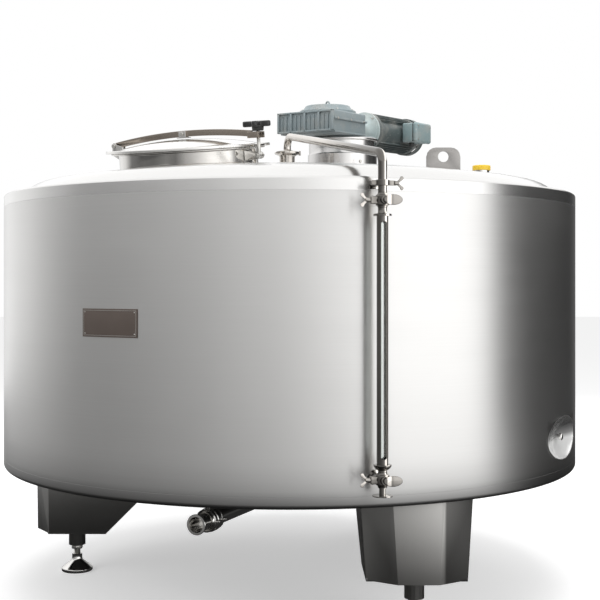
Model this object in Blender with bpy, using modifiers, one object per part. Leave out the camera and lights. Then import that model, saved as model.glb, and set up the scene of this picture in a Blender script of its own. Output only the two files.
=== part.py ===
"""Bulk milk tank: a jacketed, insulated round vessel on three legs.

Metres, +Z up. The origin is on the tank's axis at floor level, and -Y is the front. Each named
object in the collection is one piece; a piece that moves is parented to an empty on its joint axis.
"""

import math

import bmesh
import bpy
from mathutils import Matrix, Vector

# ---------------------------------------------------------------- driving dimensions
GAP = 0.0003  # between pieces that touch
# sides of turned pieces, by size
ROUND_BIG, ROUND_VESSEL, ROUND_MID, ROUND_SMALL, ROUND_PIN = 60, 40, 24, 16, 12

TANK_R = 1.000  # outer jacket
SHELL_H = 0.921  # bottom edge to top rim
FLOOR_GAP = 0.4115  # floor to bottom edge
SHEET_T = 0.004
TOP_SKIRT = 0.041
BOTTOM_SKIRT = 0.035
TOP_CORNER_R = 0.008
BOTTOM_CORNER_R = 0.014

INSULATION_T = 0.045
KNUCKLE_R = 0.100
CROWN_R = 6.000
CROWN_STEPS, KNUCKLE_STEPS = 4, 3
HEAD_SINK = 0.0565  # knuckle centre below the rim
BOTTOM_GAP = 0.0835  # bottom edge to the vessel floor's edge
FLOOR_FALL = 0.020
EVAPORATOR_T = 0.008
EVAPORATOR_LOW, EVAPORATOR_HIGH = 0.1985, SHELL_H - 0.2725  # above the bottom edge

MANWAY_X, MANWAY_Y = -0.331, -0.390
MANWAY_RISE = 0.059564867  # lid seat centre above the head under it
MANWAY_TILT, MANWAY_LEAN_AZ = math.radians(7.9), math.radians(-24.6)  # how far it leans, and which way
ARM_TURN = math.radians(-32)
NECK_R, NECK_T, NECK_LEN = 0.226, 0.004, 0.115
FLANGE_R, FLANGE_T = NECK_R + 0.024, 0.006
LID_R, LID_T, LID_RISE, LID_FLAT_R = NECK_R + 0.041, 0.003, 0.026, NECK_R + 0.010
LID_SKIRT = 0.006
GASKET_T, GASKET_W = 0.0064, 0.016
HINGE_REACH, HINGE_Z = NECK_R + 0.079, 0.020
ARM_T, ARM_H, ARM_PEAK_Z, ARM_PLAY = 0.008, 0.020, 0.047, 0.0008
CHEEK_T = 0.005
PIN_R = 0.005
BOLT_REACH, BOLT_R, BOLT_LEN = NECK_R + 0.050, 0.0055, 0.076
BOLT_PIN_Z = -0.034
FORK_END = 0.012
LATCH_GAP = 0.0014
KNOB_R, KNOB_H = 0.047, 0.018
KNOB_HUB_R, KNOB_HUB_H = 0.018, 0.014
KNOB_LOBES, LOBE_STEPS = 5, 4

DRIVE_X = 0.190
DRIVE_LEAN = math.radians(1.5)  # forwards
DRIVE_TURN = math.radians(54)  # motor axis, from +X towards +Y
STAND_R, STAND_T, STAND_H = 0.124, 0.005, 0.116
GEARBOX_LEN, GEARBOX_W, GEARBOX_H = 0.218, 0.232, 0.073
GEARBOX_END = -0.238
COVER_X, COVER_R, COVER_H = -0.095, 0.100, 0.030
OUTPUT_BOSS_R = 0.078
ADAPTOR_R = 0.034
BELL_END = 0.150
MOTOR_R, MOTOR_END = 0.068, 0.437
COWL_R, COWL_T, COWL_END = 0.071, 0.002, 0.476
EYE_R, EYE_WIRE_R, EYE_FOOT_R, EYE_TURN = 0.0115, 0.0034, 0.0105, math.radians(60)
TERMINAL_X, TERMINAL_LEN, TERMINAL_DEPTH, TERMINAL_H = 0.376, 0.115, 0.068, 0.076
MOTOR_SHAFT_R, FAN_R = 0.012, 0.058
AGITATOR_R, AGITATOR_CLEAR = 0.015, 0.080
PADDLE_R, PADDLE_H, PADDLE_T = 0.280, 0.080, 0.005
PADDLE_PITCH = math.radians(35)
RUNNING = 0.0010  # radial clearance round the turning shafts

GAUGE_AZ = math.radians(13.6)  # from the front, towards +X
GAUGE_OFF = 0.070  # tube axis outside the jacket
GUARD_R, GUARD_T = 0.016, 0.0015
GUARD_LOW, GUARD_HIGH = 0.1335, SHELL_H - 0.1155  # above the bottom edge
WINDOW_W, WINDOW_LAND = 0.017, 0.014
GLASS_R, GLASS_T = 0.009, 0.002
PIPE_R, PIPE_T = 0.0125, 0.0015
FERRULE_R, FERRULE_T = 0.0252, 0.006
COCK_R, BOSS_PROUD = 0.019, 0.0095
HANDLE_STEM_R, HANDLE_STEM_H = 0.007, 0.007
DRAIN_R, DRAIN_FOOT_R, DRAIN_FOOT_Z = 0.0093, 0.029, 0.047
COCK_HIGH, COCK_LOW = SHELL_H - 0.0725, 0.092  # plug centres above the bottom edge
CLAMP_Z = SHELL_H - 0.0255
PIPE_BEND = 0.035
BALANCE_X, BALANCE_Y = -0.008, -0.300
BALANCE_RISE = 0.056  # its run leaves the gauge this far above the rim
BALANCE_R = 0.0255
BALANCE_FERRULE_R = 0.0388
PORT_X, PORT_Y, PORT_R = 0.640, -0.310, 0.0255
CAP_R, CAP_H = 0.030, 0.017
LUG_R, LUG_AZ = 0.686, math.radians(45.6)
LUG_W, LUG_H, LUG_T, LUG_CORNER_R = 0.108, 0.068, 0.010, 0.030
LUG_HOLE_R, LUG_HOLE_DROP = 0.0175, 0.029

CUP_AZ, CUP_Z, CUP_R, CUP_DEPTH = math.radians(60.5), 0.1345, 0.0685, 0.0255
CUP_STRETCH = 2.0  # width to height, round the jacket
CUP_LIP, CUP_PROUD, CUP_FLOOR_R = 0.004, 0.0025, 0.016
PLATE_AZ, PLATE_Z = math.radians(-31.2), 0.5095
PLATE_W, PLATE_H, PLATE_T = 0.202, 0.082, 0.0015

LEG_OUT = 0.894, 0.840  # tank's axis to a leg's face: the left leg, and the front and rear ones
LEG_SIDE_X = 0.3726  # the front and rear legs stand this far to the right
LEG_W_TOP, LEG_W_FOOT = 0.330, 0.300
LEG_CHAMFER_W, LEG_CHAMFER_D = 0.090, 0.058
LEG_DEPTH_TOP, LEG_DEPTH_FOOT = 0.504, 0.2575
LEG_FOOT_Z, LEG_T = 0.165, 0.005
LEG_TOP_GAP = 0.001  # leaves room for the slanted sheet's upper edge
FOOT_R, FOOT_PAD_H, SPINDLE_R = 0.055, 0.014, 0.012
FOOT_TUBE_R, FOOT_TUBE_Z = 0.030, 0.095

OUTLET_AZ = math.radians(-23.5)
OUTLET_R, OUTLET_T, OUTLET_Z = 0.0255, 0.0016, 0.300
OUTLET_RUN, OUTLET_BEND = 0.600, 0.076
OUTLET_FERRULE_R = 0.032
VALVE_LEN, VALVE_R, DISC_T, STEM_R = 0.044, 0.038, 0.004, 0.006
LEVER_LEN = 0.130
TAIL_LEN = 0.070

COOLANT_AZ = math.radians(12)  # either side of the rear
COOLANT_Z = 0.2685, 0.5685
COOLANT_R = 0.014

# ---------------------------------------------------------------- worked out from them
BASE_Z = FLOOR_GAP
RIM_Z = FLOOR_GAP + SHELL_H
VESSEL_R = TANK_R - INSULATION_T
KNUCKLE_C = VESSEL_R - KNUCKLE_R
KNUCKLE_Z = RIM_Z - HEAD_SINK
CROWN_Z = KNUCKLE_Z - math.sqrt((CROWN_R - KNUCKLE_R) ** 2 - KNUCKLE_C**2)
VESSEL_LOW = BASE_Z + BOTTOM_GAP
GAUGE_R = TANK_R + GAUGE_OFF
HANDLE_FRONT = GAUGE_R + COCK_R + BOSS_PROUD + GAP + HANDLE_STEM_H
GAUGE_FRONT = HANDLE_FRONT * math.cos(GAUGE_AZ) + HANDLE_STEM_R * math.sin(GAUGE_AZ)

COLLECTION = "bulk_milk_tank"
STEEL = (0.62, 0.61, 0.59)


def head_z(r, inset=0.0):
    """Height of the dished head's outer surface at radius r, or of a surface inset below it."""
    crown, knuckle = CROWN_R - inset, KNUCKLE_R - inset
    tangent = crown * KNUCKLE_C / (CROWN_R - KNUCKLE_R)
    if r <= tangent:
        return CROWN_Z + math.sqrt(crown**2 - r**2)
    return KNUCKLE_Z + math.sqrt(max(knuckle**2 - (r - KNUCKLE_C) ** 2, 0.0))


def head_outline(inset):
    """The head's section, from its apex down to the foot of its knuckle."""
    tangent = (CROWN_R - inset) * KNUCKLE_C / (CROWN_R - KNUCKLE_R)
    steps = [tangent * i / CROWN_STEPS for i in range(CROWN_STEPS + 1)]
    turn = math.degrees(math.asin(tangent / (CROWN_R - inset)))
    knuckle = arc((KNUCKLE_C, KNUCKLE_Z), KNUCKLE_R - inset, 90 - turn, 0, KNUCKLE_STEPS)[1:]
    return [(r, head_z(r, inset)) for r in steps] + knuckle


# ---------------------------------------------------------------- scene and materials
def start():
    for obj in list(bpy.data.objects):
        bpy.data.objects.remove(obj)
    scene = bpy.context.scene
    for name in (COLLECTION, "cutters"):
        scene.collection.children.link(bpy.data.collections.new(name))


def material(name, colour, roughness, metallic, alpha=1.0):
    made = bpy.data.materials.new(name)
    made.use_nodes = True
    shader = made.node_tree.nodes["Principled BSDF"]
    shader.inputs["Base Color"].default_value = (*colour, 1)
    shader.inputs["Roughness"].default_value = roughness
    shader.inputs["Metallic"].default_value = metallic
    shader.inputs["Alpha"].default_value = alpha
    made.diffuse_color = (*colour, alpha)
    return made


def finish(obj, colour=STEEL, roughness=0.25, metallic=1.0, alpha=1.0, smooth=True):
    """Gives a piece its own material and puts it in the object's collection."""
    obj.data.materials.append(material(obj.name, colour, roughness, metallic, alpha))
    if smooth:
        obj.data.shade_smooth()
        obj.data.set_sharp_from_angle(angle=math.radians(35))
    return obj


# ---------------------------------------------------------------- shapes
def add(name, mesh, helper=False):
    obj = bpy.data.objects.new(name, mesh)
    bpy.data.collections["cutters" if helper else COLLECTION].objects.link(obj)
    if helper:
        obj.hide_render = True
        obj.display_type = "WIRE"
    return obj


def place(obj, parent=None, at=(0, 0, 0), turn=(0, 0, 0)):
    obj.parent = parent
    obj.location = at
    obj.rotation_euler = turn
    return obj


def frame_at(name, matrix, parent=None):
    empty = bpy.data.objects.new(name, None)
    bpy.data.collections[COLLECTION].objects.link(empty)
    empty.parent = parent
    empty.matrix_local = matrix
    empty.empty_display_size = 0.05
    return empty


def lathe(name, profile, steps=48, closed=True, helper=False):
    """Turns a profile of (radius, height) about Z. It runs down the outer side first."""
    mesh = bpy.data.meshes.new(name)
    ends = range(len(profile) if closed else len(profile) - 1)
    edges = [(i, (i + 1) % len(profile)) for i in ends]
    mesh.from_pydata([(r, 0, z) for r, z in profile], edges, [])
    obj = add(name, mesh, helper)
    screw = obj.modifiers.new("turn", "SCREW")
    screw.steps = screw.render_steps = steps
    screw.use_merge_vertices = True
    screw.merge_threshold = 0.00001
    return obj


def ring(r_out, r_in, high, low):
    return [(r_out, high), (r_out, low), (r_in, low), (r_in, high)]


def cylinder(name, r, low, high, steps=24, r_top=None, helper=False):
    mesh = bpy.data.meshes.new(name)
    bm = bmesh.new()
    bmesh.ops.create_cone(bm, cap_ends=True, segments=steps, radius1=r,
                          radius2=r if r_top is None else r_top, depth=high - low)
    bmesh.ops.translate(bm, verts=bm.verts, vec=(0, 0, (low + high) / 2))
    bm.to_mesh(mesh)
    bm.free()
    return add(name, mesh, helper)


def block(name, low, high, bevel=0.0, helper=False):
    """A box between two corners, with rounded edges."""
    mesh = bpy.data.meshes.new(name)
    bm = bmesh.new()
    bmesh.ops.create_cube(bm, size=1)
    low, high = Vector(low), Vector(high)
    bmesh.ops.scale(bm, verts=bm.verts, vec=high - low)
    bmesh.ops.translate(bm, verts=bm.verts, vec=(low + high) / 2)
    bm.to_mesh(mesh)
    bm.free()
    obj = add(name, mesh, helper)
    if bevel:
        rounded = obj.modifiers.new("edges", "BEVEL")
        rounded.width = bevel
        rounded.segments = 2
    return obj


def from_curve(name, curve, helper):
    """The curve's mesh as an object of its own, with its caps welded on."""
    source = bpy.data.objects.new(name + "_curve", curve)
    bpy.data.collections["cutters"].objects.link(source)
    graph = bpy.context.evaluated_depsgraph_get()
    mesh = bpy.data.meshes.new_from_object(source.evaluated_get(graph))
    bm = bmesh.new()
    bm.from_mesh(mesh)
    bmesh.ops.remove_doubles(bm, verts=bm.verts, dist=0.000001)
    bmesh.ops.recalc_face_normals(bm, faces=bm.faces)
    bm.to_mesh(mesh)
    bm.free()
    bpy.data.objects.remove(source)
    return add(name, mesh, helper)


def spline_of(name, points, dimensions, cyclic):
    curve = bpy.data.curves.new(name, "CURVE")
    curve.dimensions = dimensions
    spline = curve.splines.new("POLY")
    spline.points.add(len(points) - 1)
    for point, at in zip(spline.points, points):
        point.co = (*at, *(0,) * (3 - len(at)), 1)
    spline.use_cyclic_u = cyclic
    return curve


def plate(name, outline, thickness, helper=False):
    """A flat outline in XY, extruded half its thickness each way along Z."""
    curve = spline_of(name, outline, "2D", True)
    curve.fill_mode = "BOTH"
    curve.extrude = thickness / 2
    return from_curve(name, curve, helper)


def tube(name, route, radius, wall, sides=2):
    """A pipe along a route. With a wall it is hollow and open at both ends."""
    curve = spline_of(name, route, "3D", False)
    curve.bevel_depth = radius
    curve.bevel_resolution = sides
    curve.use_fill_caps = not wall
    obj = from_curve(name, curve, False)
    if wall:
        shell = obj.modifiers.new("wall", "SOLIDIFY")
        shell.thickness = wall
        shell.offset = -1
        shell.use_even_offset = True
    return obj


def torus(name, loop, radius):
    """A closed ring of round wire through the points of a loop in XY."""
    curve = spline_of(name, loop, "3D", True)
    curve.bevel_depth = radius
    curve.bevel_resolution = 1
    return from_curve(name, curve, True)


def boolean(obj, operation, *others):
    for other in others:
        change = obj.modifiers.new(f"{operation.lower()} {other.name}", "BOOLEAN")
        change.operation = operation
        change.object = other
    return obj


def arc(centre, radius, start, stop, steps):
    """Points on an arc, in degrees."""
    turns = [math.radians(start + (stop - start) * i / steps) for i in range(steps + 1)]
    return [(centre[0] + radius * math.cos(t), centre[1] + radius * math.sin(t)) for t in turns]


def rounded_route(points, radius, steps=6):
    """A route through points, with each corner an arc."""
    points = [Vector(p) for p in points]
    route = [points[0]]
    for before, corner, after in zip(points, points[1:], points[2:]):
        into, out = (corner - before).normalized(), (after - corner).normalized()
        half = into.angle(out) / 2
        cut = radius * math.tan(half)
        centre = corner + (out - into).normalized() * radius / math.cos(half)
        start = corner - into * cut - centre
        axis = into.cross(out).normalized()
        for i in range(steps + 1):
            route.append(centre + Matrix.Rotation(2 * half * i / steps, 3, axis) @ start)
    return route + [points[-1]]


def bearing(azimuth, r, z):
    """A point at an azimuth from the front, towards +X."""
    return Vector((r * math.sin(azimuth), -r * math.cos(azimuth), z))


def outward(azimuth, r, z):
    """A frame on the tank's side: local Z points out of the tank, local Y up."""
    out = bearing(azimuth, 1, 0)
    up = Vector((0, 0, 1))
    side = up.cross(out)
    matrix = Matrix((side, up, out)).transposed().to_4x4()
    matrix.translation = bearing(azimuth, r, z)
    return matrix


# ---------------------------------------------------------------- vessel and jacket
def shell():
    wall_in = TANK_R - SHEET_T
    skirt_z = RIM_Z - TOP_SKIRT
    seat = head_ring_r()
    jacket = lathe("outer_jacket", ring(TANK_R, wall_in, skirt_z - GAP,
                                        BASE_Z + BOTTOM_SKIRT + GAP), ROUND_BIG)
    top = [(seat, RIM_Z)] + arc((TANK_R - TOP_CORNER_R, RIM_Z - TOP_CORNER_R), TOP_CORNER_R, 90, 0, 2)
    top += [(TANK_R, skirt_z), (wall_in, skirt_z)]
    top += [(wall_in, RIM_Z - TOP_CORNER_R), (TANK_R - TOP_CORNER_R, RIM_Z - SHEET_T),
            (seat, RIM_Z - SHEET_T)]
    rim = lathe("top_ring", top, ROUND_BIG)
    corner = (TANK_R - BOTTOM_CORNER_R, BASE_Z + BOTTOM_CORNER_R)
    pan = [(TANK_R, BASE_Z + BOTTOM_SKIRT)] + arc(corner, BOTTOM_CORNER_R, 0, -90, 3)
    pan += [(0, BASE_Z), (0, BASE_Z + SHEET_T), (corner[0], BASE_Z + SHEET_T)]
    pan += arc(corner, BOTTOM_CORNER_R - SHEET_T, -60, 0, 2) + [(wall_in, BASE_Z + BOTTOM_SKIRT)]
    bottom = lathe("bottom_pan", pan, ROUND_BIG)
    for obj in (jacket, rim, bottom):
        finish(obj, roughness=0.3)
    boolean(bottom, "DIFFERENCE", drilled("pan_hole", OUTLET_R + GAP, BASE_Z - 0.02, BASE_Z + 0.02))
    boolean(jacket, "DIFFERENCE", *side_holes(TANK_R - 0.02, TANK_R + 0.02))


def head_ring_r():
    """Inner radius of the top ring, clear of the head all through its thickness."""
    rise = RIM_Z - SHEET_T - KNUCKLE_Z
    return KNUCKLE_C + math.sqrt(KNUCKLE_R**2 - rise**2) + 2 * GAP


def drilled(name, r, low, high, at=(0, 0, 0), turn=(0, 0, 0), steps=ROUND_MID):
    """A cutter whose flats, not its corners, are at the radius, so that it clears a round piece."""
    return place(cylinder(name, r / math.cos(math.pi / steps), low, high, steps, helper=True), at=at,
                 turn=turn)


def side_holes(r_in, r_out):
    """Cutters for what passes through the side wall, from one radius to another."""
    holes = []
    sizes = {
        "cup": (CUP_AZ, CUP_Z, CUP_R - CUP_LIP + GAP, CUP_STRETCH),
        "gauge": (GAUGE_AZ, COCK_LOW, 0.010 + GAP, 1),
        "coolant_a": (math.pi - COOLANT_AZ, COOLANT_Z[0], COOLANT_R + GAP, 1),
        "coolant_b": (math.pi + COOLANT_AZ, COOLANT_Z[1], COOLANT_R + GAP, 1),
    }
    for name, (azimuth, z, r, stretch) in sizes.items():
        hole = drilled(f"{name}_hole_{r_in:.3f}", r, 0, r_out - r_in)
        hole.matrix_world = outward(azimuth, r_in, BASE_Z + z) @ Matrix.Diagonal((stretch, 1, 1, 1))
        holes.append(hole)
    return holes


def vessel():
    inner = VESSEL_R - SHEET_T
    wall = lathe("vessel_wall", ring(VESSEL_R, inner, KNUCKLE_Z - GAP, VESSEL_LOW), ROUND_VESSEL)
    head = lathe("vessel_head", head_outline(0) + list(reversed(head_outline(SHEET_T))), ROUND_BIG)
    low = VESSEL_LOW - FLOOR_FALL
    floor = lathe("vessel_bottom", [(0, low), (VESSEL_R, VESSEL_LOW - GAP),
                                    (VESSEL_R, VESSEL_LOW - SHEET_T), (0, low - SHEET_T)], ROUND_VESSEL)
    for obj in (wall, head, floor):
        finish(obj, roughness=0.2)
    boolean(floor, "DIFFERENCE", drilled("floor_hole", OUTLET_R + GAP, low - 0.03, low + 0.03))
    manway = drilled("manway_hole", NECK_R + GAP, -0.3, 0.3, steps=ROUND_VESSEL)
    manway.matrix_world = manway_matrix()
    stand = drilled("stand_hole", STAND_R + GAP, -0.1, 0.1, steps=ROUND_VESSEL)
    stand.matrix_world = drive_matrix()
    balance = drilled("balance_hole", BALANCE_R + GAP, RIM_Z, RIM_Z + 0.4, (BALANCE_X, BALANCE_Y, 0))
    port = drilled("port_hole", PORT_R + GAP, RIM_Z, RIM_Z + 0.4, (PORT_X, PORT_Y, 0))
    boolean(head, "DIFFERENCE", manway, stand, balance, port)

    plate_out = VESSEL_R + GAP + EVAPORATOR_T
    evaporator = lathe("evaporator_plate", ring(plate_out, VESSEL_R + GAP,
                                                BASE_Z + EVAPORATOR_HIGH, BASE_Z + EVAPORATOR_LOW),
                       ROUND_VESSEL)
    finish(evaporator, roughness=0.35)
    foam_out, foam_in = TANK_R - SHEET_T - 0.002, plate_out + 0.002
    foam = lathe("insulation", [(foam_out, RIM_Z - TOP_SKIRT), (foam_out, BASE_Z + BOTTOM_SKIRT),
                                (foam_out - 0.020, BASE_Z + SHEET_T + 0.002),
                                (OUTLET_R + 0.010, BASE_Z + SHEET_T + 0.002),
                                (OUTLET_R + 0.010, VESSEL_LOW - FLOOR_FALL - SHEET_T - 0.004),
                                (foam_in, VESSEL_LOW - SHEET_T - 0.004), (foam_in, RIM_Z - TOP_SKIRT)],
                 ROUND_VESSEL)
    finish(foam, (0.75, 0.66, 0.42), 0.9, 0.0)
    boolean(foam, "DIFFERENCE", *side_holes(foam_in - 0.012, TANK_R + 0.01))


def coolant_ports():
    """Two stubs from the evaporator plate out through the rear of the jacket."""
    start = VESSEL_R + GAP + EVAPORATOR_T + GAP
    reach = GAUGE_FRONT / math.cos(COOLANT_AZ) - COOLANT_R * math.tan(COOLANT_AZ)
    for name, azimuth, z in (("coolant_inlet", math.pi - COOLANT_AZ, COOLANT_Z[0]),
                             ("coolant_outlet", math.pi + COOLANT_AZ, COOLANT_Z[1])):
        length = reach - start
        thread = COOLANT_R + 0.005
        stub = lathe(name, [(thread - 0.005, length), (thread - 0.005, length - 0.018),
                            (thread, length - 0.018), (thread, length - 0.040),
                            (COOLANT_R, length - 0.040), (COOLANT_R, 0), (COOLANT_R - 0.004, 0),
                            (COOLANT_R - 0.004, length)], ROUND_SMALL)
        stub.matrix_world = outward(azimuth, start, BASE_Z + z)
        finish(stub, (0.62, 0.45, 0.20), 0.35)


def wrapped(name, profile, stretch):
    """A turned piece whose profile ends on its axis, stretched along X and bent to the jacket's round."""
    rings, verts = [], []
    for r, z in profile:
        ring_start = len(verts)
        for i in range(ROUND_VESSEL if r else 1):
            turn = 2 * math.pi * i / ROUND_VESSEL
            x = stretch * r * math.cos(turn)
            verts.append((x, r * math.sin(turn), z - TANK_R + math.sqrt(TANK_R**2 - x**2)))
        rings.append(range(ring_start, len(verts)))
    faces = []
    for first, second in zip(rings, rings[1:]):
        for i in range(ROUND_VESSEL):
            j = (i + 1) % ROUND_VESSEL
            face = (first[i % len(first)], second[i % len(second)], second[j % len(second)],
                    first[j % len(first)])
            faces.append(tuple(dict.fromkeys(face)))
    mesh = bpy.data.meshes.new(name)
    mesh.from_pydata(verts, [], faces)
    return add(name, mesh)


def side_fittings():
    back = CUP_R - CUP_LIP
    dish = [(0, -CUP_DEPTH), (CUP_FLOOR_R, -CUP_DEPTH), (back - 0.003, -0.001), (back - 0.001, CUP_PROUD)]
    dish += [(CUP_R, CUP_PROUD), (CUP_R, 0.001), (back, 0.001), (back, -0.010)]
    dish += [(CUP_FLOOR_R + 0.004, -CUP_DEPTH - 0.003), (0, -CUP_DEPTH - 0.003)]
    cup = wrapped("sample_cup", dish, CUP_STRETCH)
    cup.matrix_world = outward(CUP_AZ, TANK_R, BASE_Z + CUP_Z)
    finish(cup, roughness=0.1)
    stud = lathe("sample_stud", [(0, -0.003), (0.011, -0.008), (0.011, -0.013), (0.007, -0.016),
                                 (0.007, -CUP_DEPTH - 0.001), (0, -CUP_DEPTH - 0.001)],
                 ROUND_SMALL, closed=False, helper=True)
    stud.matrix_world = cup.matrix_world
    boolean(cup, "UNION", stud)
    half = math.degrees(PLATE_W / 2 / TANK_R)
    face = math.degrees(PLATE_AZ) - 90
    near, far = TANK_R + 0.0008, TANK_R + 0.0008 + PLATE_T
    band = arc((0, 0), far, face - half, face + half, 8) + arc((0, 0), near, face + half, face - half, 8)
    name_plate = place(plate("name_plate", band, PLATE_H), at=(0, 0, BASE_Z + PLATE_Z))
    finish(name_plate, (0.30, 0.26, 0.22), 0.4, smooth=False)


# ---------------------------------------------------------------- legs
def legs():
    top_z = BASE_Z - LEG_TOP_GAP
    far, near = LEG_OUT
    stands = {"front": (LEG_SIDE_X, near, -90), "left": (0, far, 180), "rear": (LEG_SIDE_X, near, 90)}
    for name, (shift, out, facing) in stands.items():
        base = Matrix.Translation((shift, 0, 0)) @ Matrix.Rotation(math.radians(facing), 4, "Z")
        inner_foot = out - LEG_DEPTH_FOOT
        sections = []
        for z, r_in, width in ((top_z, out - LEG_DEPTH_TOP, LEG_W_TOP), (LEG_FOOT_Z, inner_foot, LEG_W_FOOT)):
            w = width / 2
            side = [(r_in, w), (out - LEG_CHAMFER_D, w), (out, w - LEG_CHAMFER_W)]
            sections.append([(r, y, z) for r, y in side + [(r, -y) for r, y in reversed(side)]])
        mesh = bpy.data.meshes.new(f"leg_{name}")
        count = len(sections[0])
        faces = [(i, i + 1, count + i + 1, count + i) for i in range(count - 1)]
        mesh.from_pydata(sections[0] + sections[1], [], faces)
        leg = add(f"leg_{name}", mesh)
        leg.matrix_world = base
        sheet = leg.modifiers.new("sheet", "SOLIDIFY")
        sheet.thickness = LEG_T
        sheet.offset = 1 if faces_inward(mesh) else -1
        foot_r = out - LEG_DEPTH_FOOT / 2
        half = LEG_W_FOOT / 2
        sole = block(f"leg_{name}_sole", (inner_foot + 0.002, 0.001 - half, LEG_FOOT_Z - 0.003),
                     (out - LEG_CHAMFER_D + 0.004, half - 0.001, LEG_FOOT_Z + 0.007), helper=True)
        tube_end = cylinder(f"leg_{name}_tube", FOOT_TUBE_R, FOOT_TUBE_Z, LEG_FOOT_Z + 0.002, ROUND_SMALL,
                            helper=True)
        bore = cylinder(f"leg_{name}_bore", SPINDLE_R + RUNNING, FOOT_TUBE_Z - 0.01, LEG_FOOT_Z + 0.02,
                        ROUND_PIN, helper=True)
        place(tube_end, at=(foot_r, 0, 0))
        place(bore, at=(foot_r, 0, 0))
        for helper in (sole, tube_end, bore):
            helper.parent = leg
        boolean(leg, "UNION", sole, tube_end)
        boolean(leg, "DIFFERENCE", bore)
        finish(leg, (0.40, 0.40, 0.39), 0.35, smooth=False)

        spot = base @ Vector((foot_r, 0, 0))
        axis = frame_at(f"foot_{name}_axis", Matrix.Translation(spot))
        foot = lathe(f"foot_{name}", [(0, LEG_FOOT_Z), (SPINDLE_R, LEG_FOOT_Z), (SPINDLE_R, 0.060),
                                      (0.018, 0.060), (0.018, 0.046), (0.020, 0.040),
                                      (FOOT_R - 0.012, 0.022),
                                      (FOOT_R, FOOT_PAD_H), (FOOT_R, 0), (0, 0)], ROUND_SMALL)
        place(foot, axis)
        finish(foot, roughness=0.3)


def faces_inward(mesh):
    """Whether the normals of a leg's sheet point into the leg."""
    return mesh.polygons[0].normal.y < 0


# ---------------------------------------------------------------- manway
def manway_matrix():
    lean = Matrix.Rotation(MANWAY_TILT, 4, Vector((0, 0, 1)).cross(bearing(MANWAY_LEAN_AZ, 1, 0)))
    turn = Matrix.Rotation(ARM_TURN, 4, "Z")
    rise = head_z(math.hypot(MANWAY_X, MANWAY_Y)) + MANWAY_RISE
    return Matrix.Translation((MANWAY_X, MANWAY_Y, rise)) @ lean @ turn


def manway():
    """Local Z is the neck's axis, local X runs along the arm from its hinge to the clamp."""
    seat = frame_at("manway_seat", manway_matrix())
    flange_top = -GAP - (GASKET_T - LID_SKIRT / 2 - GAP)
    inner = NECK_R - NECK_T
    neck = lathe("manway_neck", [(FLANGE_R, flange_top), (FLANGE_R, flange_top - FLANGE_T),
                                 (NECK_R, flange_top - FLANGE_T), (NECK_R, -NECK_LEN), (inner, -NECK_LEN),
                                 (inner, flange_top)], ROUND_VESSEL)
    finish(place(neck, seat), roughness=0.08)

    hinge = frame_at("lid_hinge_axis", Matrix.Translation((-HINGE_REACH, 0, HINGE_Z)), seat)
    to_seat = Matrix.Translation((HINGE_REACH, 0, -HINGE_Z))
    lid_frame = frame_at("lid_frame", to_seat, hinge)
    low = flange_top + GAP + GASKET_T - 2 * GAP
    gasket_r = (FLANGE_R + inner) / 2
    gasket = lathe("lid_gasket", ring(gasket_r + GASKET_W / 2, gasket_r - GASKET_W / 2,
                                      low, flange_top + GAP), ROUND_VESSEL)
    finish(place(gasket, lid_frame), (0.75, 0.75, 0.72), 0.6, 0.0)
    lid_low = low + GAP
    lid_top = lid_low + LID_T
    crown = (LID_FLAT_R**2 + LID_RISE**2) / (2 * LID_RISE)
    swell = [LID_FLAT_R * i / 4 for i in range(5)]
    dome = [(r, lid_top + LID_RISE - crown + math.sqrt(crown**2 - r**2)) for r in swell]
    soffit = [(r, z - LID_T) for r, z in reversed(dome)]
    lid = lathe("manway_lid", dome + [(LID_R - 0.003, lid_top), (LID_R, lid_top - 0.002),
                                      (LID_R, lid_top - LID_T - LID_SKIRT),
                                      (LID_R - LID_T, lid_top - LID_T - LID_SKIRT),
                                      (LID_R - LID_T, lid_low)] + soffit, ROUND_VESSEL)
    finish(place(lid, lid_frame), roughness=0.1)
    clamp_arm(lid_frame, lid_top + LID_RISE)
    hinge_bracket(seat)
    clamp_bolt(seat, lid_frame)


def arm_height(x):
    """The arm's middle line: a parabola through the hinge, the peak and the fork."""
    fork_z = BOLT_PIN_Z + BOLT_LEN - ARM_H / 2 - LATCH_GAP
    t = (x + HINGE_REACH) / (BOLT_REACH + FORK_END + HINGE_REACH)
    return HINGE_Z + (fork_z - HINGE_Z) * t + 4 * (ARM_PEAK_Z - (HINGE_Z + fork_z) / 2) * t * (1 - t)


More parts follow.
